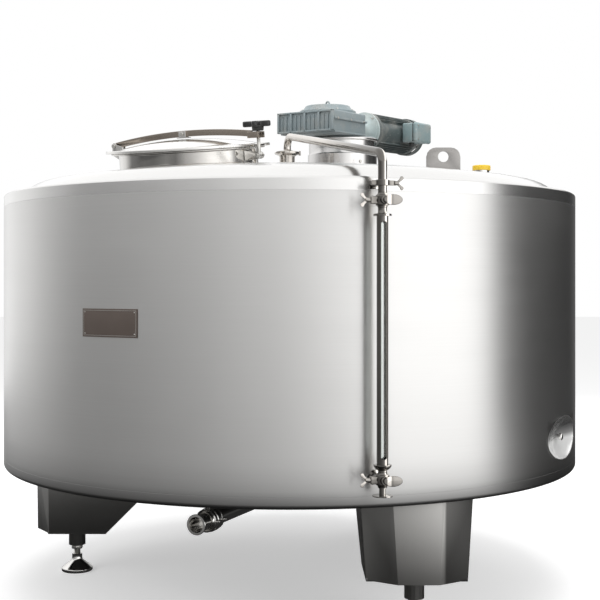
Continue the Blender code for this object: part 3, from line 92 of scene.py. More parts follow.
# ---------------------------------------------------------------- shader graph
class Field:
    """A shader socket that takes part in arithmetic."""

    def __init__(self, graph: Graph, socket: bpy.types.NodeSocket) -> None:
        """Wraps an output socket of a graph."""
        self.graph = graph
        self.socket = socket

    def _math(self, operation: str, first: Number, second: Number = 0.0) -> Field:
        """Adds a Math node.

        Args:
            operation: The node's operation.
            first: Its first value or link.
            second: Its second value or link.

        Returns:
            The node's result.
        """
        return self.graph.node("ShaderNodeMath", {"operation": operation}, {0: first, 1: second})

    def __add__(self, other: Number) -> Field:
        """Sum."""
        return self._math("ADD", self, other)

    __radd__ = __add__

    def __sub__(self, other: Number) -> Field:
        """Difference."""
        return self._math("SUBTRACT", self, other)

    def __rsub__(self, other: Number) -> Field:
        """Difference, from the other."""
        return self._math("SUBTRACT", other, self)

    def __mul__(self, other: Number) -> Field:
        """Product."""
        return self._math("MULTIPLY", self, other)

    __rmul__ = __mul__

    def __pow__(self, other: Number) -> Field:
        """Power."""
        return self._math("POWER", self, other)

    def above(self, low: float, high: float) -> Field:
        """A smooth step from 0 at low to 1 at high."""
        return self.graph.node(
            "ShaderNodeMapRange", {"interpolation_type": "SMOOTHSTEP"}, {0: self, 1: low, 2: high})


class Graph:
    """A material's node tree around one Principled shader."""

    def __init__(self, name: str) -> None:
        """Starts a material of that name."""
        self.material = bpy.data.materials.new(name)
        self.material.use_nodes = True
        self.tree = self.material.node_tree
        self.shader = self.tree.nodes["Principled BSDF"]

    def node(self, kind: str, settings: dict[str, Any] | None = None,
            inputs: dict[int | str, Any] | None = None, output: int | str = 0) -> Field:
        """Adds any node.

        Args:
            kind: The node's type.
            settings: Its own settings, set first; stops is a colour ramp's list of place and colour.
            inputs: Values or links of its sockets, by index or name.
            output: The socket to return.

        Returns:
            The chosen output as a field.
        """
        made = self.tree.nodes.new(kind)
        for key, value in (settings or {}).items():
            if key == "stops":
                self._set_stops(made.color_ramp, value)
            else:
                setattr(made, key, value)
        for key, value in (inputs or {}).items():
            self.feed(made.inputs[key], value)
        return Field(self, made.outputs[output])

    @staticmethod
    def _set_stops(ramp: bpy.types.ColorRamp, stops: Sequence[tuple[float, Any]]) -> None:
        """Gives a ramp its stops, each a place and a colour or a grey."""
        while len(ramp.elements) < len(stops):
            ramp.elements.new(1.0)
        for element, (place, colour) in zip(ramp.elements, stops):
            element.position = place
            element.color = (*colour, 1) if isinstance(colour, tuple) else (colour, colour, colour, 1)

    def feed(self, socket: bpy.types.NodeSocket, value: Any) -> None:
        """Links a field to a socket, or sets its value."""
        if isinstance(value, Field):
            self.tree.links.new(value.socket, socket)
        elif isinstance(value, tuple) and len(value) == 3 and socket.type == "RGBA":
            socket.default_value = (*value, 1)
        else:
            socket.default_value = value

    def place(self) -> Field:
        """The point on the piece, in metres from the origin."""
        return self.node("ShaderNodeTexCoord", output="Object")

    def with_painted_light(self, base: Field, painted_light_bands: PaintedLightBands | None) -> Field:
        """A colour with painted light and shade across it, stripes that stand in for reflections and
        shadows, or as it is where there are none.
        """
        if painted_light_bands is None:
            return base
        offset = self.node(
            "ShaderNodeVectorMath", {"operation": "SUBTRACT"}, {0: self.place(), 1: painted_light_bands.start})
        distance = self.node(
            "ShaderNodeVectorMath", {"operation": "DOT_PRODUCT"}, {0: offset, 1: painted_light_bands.way}, 1)
        low, high = painted_light_bands.factors[0][0], painted_light_bands.factors[-1][0]
        strongest = max(factor for _, factor in painted_light_bands.factors)
        stops = [((at - low) / (high - low), factor / strongest) for at, factor in painted_light_bands.factors]
        factor = self.node(
            "ShaderNodeValToRGB", {"stops": stops}, {0: (distance - low) * (1 / (high - low))})
        scaled_up = self.node(
            "ShaderNodeVectorMath", {"operation": "SCALE"}, {0: factor, "Scale": strongest})
        return self.node("ShaderNodeVectorMath", {"operation": "MULTIPLY"}, {0: base, 1: scaled_up})

    def stretched(self, scale: tuple[float, float, float]) -> Field:
        """The point on the piece, scaled by axis."""
        return self.node("ShaderNodeVectorMath", {"operation": "MULTIPLY"}, {0: self.place(), 1: scale})

    def noise(self, vector: Field, scale: float = 1.0, detail: float = 3.0,
            roughness: float = 0.5) -> Field:
        """Fractal noise from 0 to 1."""
        return self.node(
            "ShaderNodeTexNoise", None, {"Vector": vector, "Scale": scale, "Detail": detail,
                "Roughness": roughness})

    def tint(self, amount: Number, first: Field | Colour, second: Field | Colour) -> Field:
        """A colour between the first, at 0, and the second, at 1."""
        return self.node("ShaderNodeMix", {"data_type": "RGBA"}, {"Factor": amount, 6: first, 7: second}, 2)

    def bump(self, height: Field, depth: float) -> None:
        """Raises the surface by a height from 0 to 1 times a depth in metres."""
        self.feed(
            self.shader.inputs["Normal"], self.node("ShaderNodeBump", None,
                {"Strength": 1.0, "Distance": depth, "Height": height}))

    def shade(self, **sockets: Any) -> bpy.types.Material:
        """Feeds the Principled shader's sockets, named with underscores, and returns the material."""
        for key, value in sockets.items():
            self.feed(self.shader.inputs[key.replace("_", " ").title().replace("Ior", "IOR")], value)
        return self.material


# ---------------------------------------------------------------- finishes
class Grain(Enum):
    """Which way a sheet was brushed."""

    ROUND_AXIS = (3.0, 3.0, 900.0)
    UPRIGHT = (700.0, 700.0, 6.0)
    SPUN = (260.0, 260.0, 260.0)


def scaled(colour: Colour, factor: float, lift: float = 0.0) -> Colour:
    """A colour times a factor, plus a lift, no lighter than white."""
    return tuple(min(1.0, factor * c + lift) for c in colour)


@dataclass(frozen=True)
class PaintedLightBands:
    """Painted reflections: lighter and darker stripes painted into a piece's colour, standing in for the
    light and shade its surroundings leave on bright metal.

    Each factor goes with its distance from the start along the way, in metres.
    """

    way: tuple[float, float, float]
    factors: tuple[tuple[float, float], ...]
    start: tuple[float, float, float] = (0.0, 0.0, 0.0)


@dataclass(frozen=True)
class BrushedSteel:
    """Satin stainless sheet with fine parallel grain, faint smudges and worn patches."""

    name: str
    colour: Colour = (0.62, 0.615, 0.605)
    roughness: float = 0.30
    anisotropy: float = 0.75
    grain: Grain = Grain.ROUND_AXIS
    painted_light_bands: PaintedLightBands | None = None

    def material(self) -> bpy.types.Material:
        """Builds the material."""
        graph = Graph(self.name)
        lines = graph.noise(graph.stretched(self.grain.value), detail=4.0, roughness=0.65)
        cloud = graph.noise(graph.place(), scale=2.3, detail=4.0).above(0.35, 0.75)
        wipe = graph.noise(graph.stretched((1.2, 1.2, 14.0)), detail=3.0).above(0.4, 0.8)
        dark = scaled(self.colour, 0.90)
        light = scaled(self.colour, 1.05)
        base = graph.tint(lines * 0.75 + cloud * 0.25, dark, light)
        # Painted light and shade: where given, reflection stripes scale the colour.
        base = graph.with_painted_light(base, self.painted_light_bands)
        rough = self.roughness - 0.03 + lines * 0.05 + cloud * 0.03 + wipe * 0.02
        graph.bump(lines, 0.00002)
        return graph.shade(
            base_color=base, roughness=rough, metallic=1.0, anisotropic=self.anisotropy,
            anisotropic_rotation=0.25)


@dataclass(frozen=True)
class PolishedSteel:
    """Mirror-polished stainless with wipe marks and a slight waviness."""

    name: str
    colour: Colour = (0.70, 0.69, 0.67)
    roughness: float = 0.09
    wave: float = 0.0006
    metallic: float = 1.0
    painted_light_bands: PaintedLightBands | None = None

    def material(self) -> bpy.types.Material:
        """Builds the material."""
        graph = Graph(self.name)
        marks = graph.noise(graph.stretched((18.0, 18.0, 55.0)), detail=4.0, roughness=0.6).above(0.35, 0.8)
        haze = graph.noise(graph.place(), scale=9.0, detail=2.0)
        dark = scaled(self.colour, 0.88)
        base = graph.tint(1 - marks * 0.6, dark, self.colour)
        # Painted light and shade: where given, reflection stripes scale the colour.
        base = graph.with_painted_light(base, self.painted_light_bands)
        graph.bump(haze, self.wave)
        return graph.shade(
            base_color=base, roughness=self.roughness + marks * 0.06 + haze * 0.03, metallic=self.metallic)


@dataclass(frozen=True)
class WeldSteel:
    """A dressed weld: rippled, a little rougher and warmer than the sheet."""

    name: str

    def material(self) -> bpy.types.Material:
        """Builds the material."""
        graph = Graph(self.name)
        ripple = graph.noise(graph.place(), scale=240.0, detail=2.0)
        heat = graph.noise(graph.place(), scale=30.0, detail=2.0).above(0.4, 0.7)
        base = graph.tint(heat, (0.56, 0.54, 0.52), (0.60, 0.54, 0.46))
        graph.bump(ripple, 0.0006)
        return graph.shade(base_color=base, roughness=0.24 + ripple * 0.16, metallic=1.0)


@dataclass(frozen=True)
class Enamel:
    """Machine paint: slight orange peel, darker in the dust, with small worn specks."""

    name: str
    colour: Colour
    roughness: float = 0.42

    def material(self) -> bpy.types.Material:
        """Builds the material."""
        graph = Graph(self.name)
        peel = graph.noise(graph.place(), scale=420.0, detail=2.0)
        dust = graph.noise(graph.place(), scale=14.0, detail=5.0, roughness=0.6).above(0.42, 0.78)
        speck = graph.noise(graph.place(), scale=150.0, detail=1.0).above(0.71, 0.75)
        dark = scaled(self.colour, 0.78)
        light = scaled(self.colour, 1.10)
        paint = graph.tint(dust * 0.55, graph.tint(peel, dark, light), (0.34, 0.33, 0.30))
        base = graph.tint(speck * 0.5, paint, (0.55, 0.55, 0.53))
        graph.bump(peel, 0.0003)
        return graph.shade(
            base_color=base, roughness=self.roughness + dust * 0.18 + peel * 0.05, metallic=0.0,
            coat_weight=0.15, coat_roughness=0.25)


@dataclass(frozen=True)
class Moulding:
    """Moulded plastic or rubber with a fine spark-eroded texture and scuffs."""

    name: str
    colour: Colour
    roughness: float = 0.40
    texture: float = 0.0002

    def material(self) -> bpy.types.Material:
        """Builds the material."""
        graph = Graph(self.name)
        pits = graph.noise(graph.place(), scale=900.0, detail=2.0)
        scuff = graph.noise(graph.stretched((60.0, 220.0, 60.0)), detail=3.0).above(0.55, 0.8)
        light = scaled(self.colour, 1.25, 0.03)
        base = graph.tint(scuff * 0.6 + pits * 0.2, self.colour, light)
        graph.bump(pits, self.texture)
        return graph.shade(base_color=base, roughness=self.roughness + scuff * 0.15, metallic=0.0)


@dataclass(frozen=True)
class ClearTube:
    """Boiled-out glass with a trace of dried milk film."""

    name: str

    def material(self) -> bpy.types.Material:
        """Builds the material."""
        graph = Graph(self.name)
        film = graph.noise(graph.stretched((60.0, 60.0, 9.0)), detail=3.0).above(0.45, 0.8)
        base = graph.tint(film, (0.93, 0.96, 0.95), (0.86, 0.88, 0.86))
        return graph.shade(
            base_color=base, roughness=0.02 + film * 0.12, metallic=0.0, transmission_weight=1.0, ior=1.47)


@dataclass(frozen=True)
class TurnedMetal:
    """Machined metal with tool marks, such as brass unions or zinc-plated screws."""

    name: str
    colour: Colour
    roughness: float = 0.28

    def material(self) -> bpy.types.Material:
        """Builds the material."""
        graph = Graph(self.name)
        marks = graph.noise(graph.place(), scale=300.0, detail=3.0)
        age = graph.noise(graph.place(), scale=35.0, detail=4.0).above(0.4, 0.75)
        dark = scaled(self.colour, 0.62)
        base = graph.tint(1 - age * 0.7, dark, self.colour)
        graph.bump(marks, 0.0001)
        return graph.shade(
            base_color=base, roughness=self.roughness + age * 0.2 + marks * 0.05, metallic=1.0)


@dataclass(frozen=True)
class EtchedPlate:
    """A bare bronze-toned plate with a brushed face."""

    name: str
    colour: Colour = (0.092, 0.074, 0.064)

    def material(self) -> bpy.types.Material:
        """Builds the material."""
        graph = Graph(self.name)
        lines = graph.noise(graph.stretched((30.0, 30.0, 900.0)), detail=3.0)
        patch = graph.noise(graph.place(), scale=22.0, detail=3.0)
        light = scaled(self.colour, 1.5)
        base = graph.tint(lines * 0.6 + patch * 0.4, self.colour, light)
        graph.bump(lines, 0.00005)
        return graph.shade(base_color=base, roughness=0.36 + patch * 0.12, metallic=0.55)


@dataclass(frozen=True)
class PlainFoam:
    """Poured rigid foam, open-celled at the skin."""

    name: str

    def material(self) -> bpy.types.Material:
        """Builds the material."""
        graph = Graph(self.name)
        cells = graph.noise(graph.place(), scale=160.0, detail=3.0)
        base = graph.tint(cells, (0.66, 0.56, 0.34), (0.80, 0.72, 0.50))
        graph.bump(cells, 0.001)
        return graph.shade(base_color=base, roughness=0.9, metallic=0.0)


def made_finishes() -> Finishes:
    """Makes every finish on the tank, each with the slot of the record that it usually fills."""
    # Painted shade: the jacket's colour darkens towards its bottom edge, standing in for the dark floor and
    # the tank's shadow reflected low on the sheet.
    foot = ((0.4115, 0.24), (0.430, 0.43), (0.446, 0.56), (0.463, 0.74), (0.49, 0.86), (0.53, 0.97),
            (0.56, 1.0))
    # Painted light and shade on the legs: a lit middle face between darker side faces, across X.
    leg_painted_light = ((-1.0, 0.9), (0.294, 0.95), (0.300, 1.15), (0.444, 1.60), (0.450, 0.36), (0.54, 0.18),
             (1.0, 0.18))
    # Painted highlights and shade across the gauge pipes: a dark left side and bright glint stripes,
    # measured sideways from the gauge's axis.
    pipe_painted_glints = ((-0.30, 1.9), (-0.055, 1.5), (-0.022, 0.45), (-0.009, 0.32), (0.001, 0.42), (0.004, 2.4),
              (0.0115, 2.4), (0.0155, 0.5), (0.022, 0.75), (0.06, 0.75))
    # Painted light on the sample cup: its lower half lit bright, its upper half shaded dark, by height from
    # the cup's middle.
    cup_painted_light = ((-0.075, 0.8), (-0.055, 1.0), (-0.012, 0.95), (0.004, 0.30), (0.035, 0.08), (0.075, 0.14))
    # Painted reflections on the manway collar: bright and dark panels across X from the manway's middle.
    panels = ((-0.23, 1.0), (-0.19, 0.9), (-0.165, 0.30), (-0.12, 0.45), (-0.09, 0.38), (-0.05, 0.5),
              (-0.02, 0.32), (0.01, 0.7), (0.06, 0.95), (0.10, 1.1), (0.23, 1.3))
    side = Gauge.azimuth
    gauge_at = tuple(bearing(side, Shell.radius + Gauge.off, 0))
    cup_at = (0, 0, Shell.base_z + SideFittings.cup_z)
    neck_at = (Manway.x, Manway.y, 0)
    by_slot = {
        "jacket_steel": {
            "jacket": BrushedSteel("jacket_sheet", painted_light_bands=PaintedLightBands((0, 0, 1), foot)),
            "rim": BrushedSteel("rim_sheet", (0.68, 0.675, 0.665), 0.20, 0.55),
        },
        "vessel_steel": {
            "head": BrushedSteel("head_sheet", (0.72, 0.715, 0.705), 0.24, 0.5, Grain.SPUN),
            "vessel": BrushedSteel("vessel_sheet", (0.64, 0.64, 0.63), 0.22, 0.5),
        },
        "leg_steel": {
            "leg": BrushedSteel("leg_sheet", (0.30, 0.295, 0.285), 0.33, 0.4, Grain.UPRIGHT,
                                PaintedLightBands((1, 0, 0), leg_painted_light)),
        },
        "polished_steel": {
            "polish": PolishedSteel("polished_fitting"),
            "pipe": PolishedSteel("polished_pipe", (0.38, 0.36, 0.335), 0.08,
                                  painted_light_bands=PaintedLightBands((math.cos(side), math.sin(side), 0), pipe_painted_glints, gauge_at)),
            "cup": PolishedSteel("polished_cup", (0.95, 0.95, 0.94), 0.16, metallic=0.35,
                                 painted_light_bands=PaintedLightBands((0, 0, 1), cup_painted_light, cup_at)),
            "lug": PolishedSteel("polished_lug", (0.30, 0.29, 0.28), 0.20),
            "neck": PolishedSteel("polished_neck", (0.66, 0.645, 0.62), 0.06, wave=0.0004,
                                  painted_light_bands=PaintedLightBands((1, 0, 0), panels, neck_at)),
            "arm": PolishedSteel("clamp_arm_bar", (0.36, 0.315, 0.27), 0.22),
            "stand": BrushedSteel("stand_sheet", (0.62, 0.61, 0.60), 0.16, 0.6),
            "weld": WeldSteel("dressed_weld"),
            "screw": TurnedMetal("plated_screw", (0.62, 0.61, 0.58)),
        },
        "port_brass": {"brass": TurnedMetal("union_brass", (0.62, 0.45, 0.20))},
        "drive_paint": {
            "gearbox": Enamel("gearbox_enamel", (0.235, 0.285, 0.300)),
            "adaptor": Enamel("adaptor_enamel", (0.42, 0.50, 0.50), 0.34),
            "box": Enamel("terminal_enamel", (0.235, 0.315, 0.325), 0.36),
            "dark_rubber": Moulding("gland_rubber", (0.03, 0.03, 0.03), 0.55),
        },
        "motor_paint": {"motor": Enamel("motor_enamel", (0.060, 0.078, 0.078), 0.48)},
        "knob_plastic": {"knob": Moulding("knob_plastic", (0.012, 0.012, 0.012), 0.30)},
        "lever_plastic": {"lever": Moulding("lever_plastic", (0.05, 0.05, 0.05))},
        "cap_plastic": {"cap": Moulding("cap_plastic", (0.78, 0.52, 0.03), 0.36)},
        "seal_rubber": {"seal": Moulding("seal_rubber", (0.70, 0.70, 0.66), 0.55)},
        "sight_glass": {"glass": ClearTube("gauge_glass")},
        "plate_bronze": {"plate": EtchedPlate("name_plate_face")},
        "foam": {"foam": PlainFoam("rigid_foam")},
    }
    return {key: (finish.material(), slot)
            for slot, group in by_slot.items() for key, finish in group.items()}


# ---------------------------------------------------------------- modelling
@contextmanager
def editing(obj: bpy.types.Object) -> Iterator[bpy.types.Object]:
    """Edit mode on one object alone, left again at the end."""
    pick(obj)
    bpy.ops.object.mode_set(mode="EDIT")
    yield obj
    bpy.ops.object.mode_set(mode="OBJECT")


def pick(obj: bpy.types.Object) -> None:
    """Selects one object alone and makes it active."""
    bpy.ops.object.select_all(action="DESELECT")
    obj.select_set(True)
    bpy.context.view_layer.objects.active = obj


def named(name: str) -> bpy.types.Object:
    """Names the object that an operator just added."""
    obj = bpy.context.active_object
    obj.name = name
    obj.data.name = name
    return obj


def settle(obj: bpy.types.Object, matrix: Matrix | None = None) -> bpy.types.Object:
    """Puts a piece at its place and applies that to its mesh.

    Args:
        obj: The piece, modelled about the origin.
        matrix: Where its origin goes.

    Returns:
        The same piece, its object at the origin.
    """
    if matrix is not None:
        obj.matrix_world = matrix @ obj.matrix_world
    pick(obj)
    bpy.ops.object.transform_apply(location=True, rotation=True, scale=True)
    return obj


def smooth(obj: bpy.types.Object, angle: float = 35.0) -> bpy.types.Object:
    """Shades a piece smooth, with edges sharper than an angle in degrees left hard."""
    pick(obj)
    bpy.ops.object.shade_smooth_by_angle(angle=math.radians(angle))
    return obj


def applied(obj: bpy.types.Object, kind: str, **settings: Any) -> bpy.types.Object:
    """Adds a modifier with its settings and applies it."""
    modifier = obj.modifiers.new(kind.lower(), kind)
    for key, value in settings.items():
        setattr(modifier, key, value)
    pick(obj)
    bpy.ops.object.modifier_apply(modifier=modifier.name)
    return obj


def rounded(obj: bpy.types.Object, width: float, segments: int = 3,
        limit: float = 32.0) -> bpy.types.Object:
    """Rounds a piece's edges and shades it smooth."""
    applied(
        obj, "BEVEL", width=width, segments=segments, limit_method="ANGLE", angle_limit=math.radians(limit),
        harden_normals=False)
    return smooth(obj, 40)


def cut(obj: bpy.types.Object, cutters: Iterable[bpy.types.Object]) -> bpy.types.Object:
    """Cuts each cutter from a piece and removes the cutter."""
    for cutter in cutters:
        applied(obj, "BOOLEAN", operation="DIFFERENCE", object=cutter, solver="EXACT")
        bpy.data.objects.remove(cutter)
    return obj


def merged(name: str, parts: Sequence[bpy.types.Object]) -> bpy.types.Object:
    """Joins loose shapes of one piece into one object.

    Args:
        name: The piece's name.
        parts: Its shapes; they are used up.

    Returns:
        The piece.
    """
    bpy.ops.object.select_all(action="DESELECT")
    for part in parts:
        part.select_set(True)
    bpy.context.view_layer.objects.active = parts[0]
    if len(parts) > 1:
        bpy.ops.object.join()
    return named(name)


def outward_faces() -> None:
    """In edit mode, merges doubles and turns all faces out."""
    bpy.ops.mesh.select_all(action="SELECT")
    bpy.ops.mesh.remove_doubles(threshold=0.00001)
    bpy.ops.mesh.normals_make_consistent(inside=False)


def drawn(name: str, points: Sequence[Sequence[float]]) -> bpy.types.Object:
    """One vertex extruded from point to point; the last one stays selected.

    Args:
        name: The object's name.
        points: The line's points.

    Returns:
        The line, in object mode.
    """
    bpy.ops.mesh.primitive_plane_add(size=0.001, location=(0, 0, 0))
    obj = named(name)
    with editing(obj):
        bpy.ops.mesh.select_all(action="SELECT")
        bpy.ops.mesh.merge(type="CENTER")
        at = Vector(points[0])
        bpy.ops.transform.translate(value=at)
        for point in points[1:]:
            step = Vector(point) - at
            at = Vector(point)
            bpy.ops.mesh.extrude_region_move(TRANSFORM_OT_translate={"value": step})
    return obj


def turned(name: str, profile: Profile, matrix: Matrix | None = None, sides: int = ROUND_FINE,
        angle: float = 35.0) -> bpy.types.Object:
    """Spins a closed profile about Z.

    Args:
        name: The piece's name.
        profile: Points of radius and height.
        matrix: Where the piece's own origin goes.
        sides: Steps of the full turn.
        angle: Edges sharper than this stay hard, in degrees.

    Returns:
        The turned piece.
    """
    points = [(r, 0, z) for r, z in profile]
    obj = drawn(name, points + points[:1])
    with editing(obj):
        bpy.ops.mesh.select_all(action="SELECT")
        bpy.ops.mesh.spin(steps=sides, angle=2 * math.pi, center=(0, 0, 0), axis=(0, 0, 1))
        outward_faces()
    return smooth(settle(obj, matrix), angle)


def slab(name: str, outline: Profile, thickness: float, matrix: Matrix | None = None,
        bevel: float = 0.0) -> bpy.types.Object:
    """A flat outline in XY, given thickness half each way along Z.

    Args:
        name: The piece's name.
        outline: Its points in order.
        thickness: Through Z.
        matrix: Where it goes.
        bevel: Rounding of its edges.

    Returns:
        The piece.
    """
    obj = drawn(name, [(x, y, -thickness / 2) for x, y in outline])
    with editing(obj):
        bpy.ops.mesh.select_all(action="SELECT")
        bpy.ops.mesh.edge_face_add()
        bpy.ops.mesh.extrude_region_move(TRANSFORM_OT_translate={"value": (0, 0, thickness)})
        outward_faces()
    settle(obj, matrix)
    return rounded(obj, bevel) if bevel else smooth(obj)


def cube(name: str, low: Sequence[float], high: Sequence[float], matrix: Matrix | None = None,
        bevel: float = 0.0, segments: int = 3) -> bpy.types.Object:
    """A box between two corners, with rounded edges.

    Args:
        name: The piece's name.
        low: Its lowest corner.
        high: Its highest corner.
        matrix: Where its own origin goes.
        bevel: Rounding of its edges.
        segments: Steps of the rounding.

    Returns:
        The box.
    """
    low, high = Vector(low), Vector(high)
    bpy.ops.mesh.primitive_cube_add(size=1, location=(low + high) / 2, scale=high - low)
    obj = settle(named(name), matrix)
    return rounded(obj, bevel, segments) if bevel else obj


def rod(name: str, radius: float, low: float, high: float, sides: int = ROUND_FINE,
        matrix: Matrix | None = None, bevel: float = 0.0) -> bpy.types.Object:
    """A round bar along Z with broken edges."""
    bpy.ops.mesh.primitive_cylinder_add(
        vertices=sides, radius=radius, depth=high - low, location=(0, 0, (low + high) / 2))
    obj = settle(named(name), matrix)
    return rounded(obj, bevel, 2, 50) if bevel else smooth(obj)


def arc(centre: tuple[float, float], radius: float, start: float, stop: float,
        steps: int) -> list[tuple[float, float]]:
    """Points on an arc, its ends in degrees."""
    turns = [math.radians(start + (stop - start) * i / steps) for i in range(steps + 1)]
    return [(centre[0] + radius * math.cos(t), centre[1] + radius * math.sin(t)) for t in turns]


def pipe(name: str, corners: Sequence[Vector], radius: float, wall: float, bend: float) -> bpy.types.Object:
    """A round tube with swept bends, open at both ends.

    Args:
        name: The piece's name.
        corners: Its centre line's ends and corners.
        radius: Outer radius.
        wall: Its thickness.
        bend: Radius of each bend's centre line.

    Returns:
        The tube.
    """
    points = [Vector(c) for c in corners]
    heading = (points[1] - points[0]).normalized()
    bpy.ops.mesh.primitive_circle_add(
        vertices=ROUND_FINE, radius=radius, location=points[0],
        rotation=heading.to_track_quat("Z", "Y").to_euler())
    obj = settle(named(name))
    at = points[0]
    with editing(obj):
        bpy.ops.mesh.select_all(action="SELECT")
        for corner, after in zip(points[1:], points[2:]):
            out = (after - corner).normalized()
            angle = heading.angle(out)
            run = corner - heading * bend * math.tan(angle / 2)
            bpy.ops.mesh.extrude_region_move(TRANSFORM_OT_translate={"value": run - at})
            axis = heading.cross(out).normalized()
            centre = run + axis.cross(heading).normalized() * bend
            bpy.ops.mesh.spin(steps=14, angle=-angle, center=centre, axis=axis)
            at = centre + Matrix.Rotation(angle, 3, axis) @ (run - centre)
            heading = out
        bpy.ops.mesh.extrude_region_move(TRANSFORM_OT_translate={"value": points[-1] - at})
        outward_faces()
    applied(obj, "SOLIDIFY", thickness=wall, offset=-1.0, use_even_offset=True)
    return smooth(obj)


def bead(name: str, points: Sequence[Vector]) -> bpy.types.Object:
    """A thin round weld bead along a closed line of points."""
    curve = bpy.data.curves.new(name, "CURVE")
    curve.dimensions = "3D"
    curve.bevel_depth = WELD_R
    curve.bevel_resolution = 2
    spline = curve.splines.new("POLY")
    spline.points.add(len(points) - 1)
    for knot, at in zip(spline.points, points):
        knot.co = (*at, 1)
    spline.use_cyclic_u = True
    obj = bpy.data.objects.new(name, curve)
    bpy.context.scene.collection.objects.link(obj)
    pick(obj)
    bpy.ops.object.convert(target="MESH")
    with editing(named(name)) as made:
        outward_faces()
    return smooth(made, 60)


class Frame:
    """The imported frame: its nodes and its box."""

    def __init__(self) -> None:
        """Loads it."""
        self.nodes: dict[str, bpy.types.Object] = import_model()["nodes"]
        self.bounds = [list(corner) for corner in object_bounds()]


@dataclass
class Assembly:
    """A sub-assembly of the tank, which ties its pieces to the frame."""

    frame: Frame
    finishes: Finishes

    def own(self, piece: bpy.types.Object, finish: str, *stands_for: str, body: str = "tank",
            slot: str | None = None) -> None:
        """Dresses a piece and ties it to a body.

        Args:
            piece: The finished mesh.
            finish: Its finish.
            stands_for: The nodes that it replaces.
            body: The body that it moves with.
            slot: Not used.
        """
        material, usual_slot = self.finishes[finish]
        piece.data.materials.clear()
        piece.data.materials.append(material)
        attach(piece, body)
        if stands_for:
            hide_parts(*stands_for)
        log.info("%s: %d faces on %s", piece.name, len(piece.data.polygons), body)

    def refine(self, node: str, finish: str, bevel: float, segments: int = 2, angle: float = 34.0,
            body: str = "tank", slot: str | None = None) -> None:
        """Owns a node's own shape with its doubles merged, flat faces cleaned and edges rounded.

        Args:
            node: The node to copy and replace.
            finish: The copy's finish.
            bevel: Rounding of its edges.
            segments: Steps of the rounding.
            angle: Edges sharper than this are rounded, in degrees.
            body: The body that it moves with.
            slot: The record's material slot, where it isn't the finish's usual one.
        """
        source = self.frame.nodes[node]
        obj = source.copy()
        obj.data = source.data.copy()
        for key in list(obj.keys()):
            del obj[key]
        obj.parent = None
        bpy.context.scene.collection.objects.link(obj)
        obj.name = obj.data.name = f"{node}_body"
        with editing(obj):
            bpy.ops.mesh.select_all(action="SELECT")
            bpy.ops.mesh.remove_doubles(threshold=0.000005)
            bpy.ops.mesh.customdata_custom_splitnormals_clear()
            bpy.ops.mesh.dissolve_limited(angle_limit=math.radians(0.5))
        self.own(rounded(obj, bevel, segments, angle), finish, node, body=body, slot=slot)

    def join(self, name: str, shapes: Sequence[bpy.types.Object], finish: str, *stands_for: str,
            body: str = "tank", slot: str | None = None) -> None:
        """Owns loose shapes as one smooth piece; the rest is as for own."""
        self.own(smooth(merged(name, shapes)), finish, *stands_for, body=body, slot=slot)

    def bolts(self, name: str, across: float, height: float, spots: Iterable[Matrix],
            slot: str | None = None) -> None:
        """Owns a hexagon head on each spot's XY plane."""
        for i, spot in enumerate(spots):
            self.own(hex_bolt(f"{name}_{i}", across, height, spot), "screw", slot=slot)

    def dress(self, finish: str, node: str) -> None:
        """Gives a node that stays as it is its finish."""
        data = self.frame.nodes[node].data
        data.materials.clear()
        data.materials.append(self.finishes[finish][0])


def bearing(azimuth: float, r: float, z: float) -> Vector:
    """A point at an azimuth from the front, towards +X."""
    return Vector((r * math.sin(azimuth), -r * math.cos(azimuth), z))


def outward(azimuth: float, r: float, z: float) -> Matrix:
    """A frame on the tank's side: local Z points out of the tank, local Y up."""
    out = bearing(azimuth, 1, 0)
    matrix = Matrix((Z.cross(out), Z, out)).transposed().to_4x4()
    matrix.translation = bearing(azimuth, r, z)
    return matrix


def shift(x: float = 0.0, y: float = 0.0, z: float = 0.0) -> Matrix:
    """A move."""
    return Matrix.Translation((x, y, z))


def spin(degrees: float, axis: str) -> Matrix:
    """A turn about an axis."""
    return Matrix.Rotation(math.radians(degrees), 4, axis)


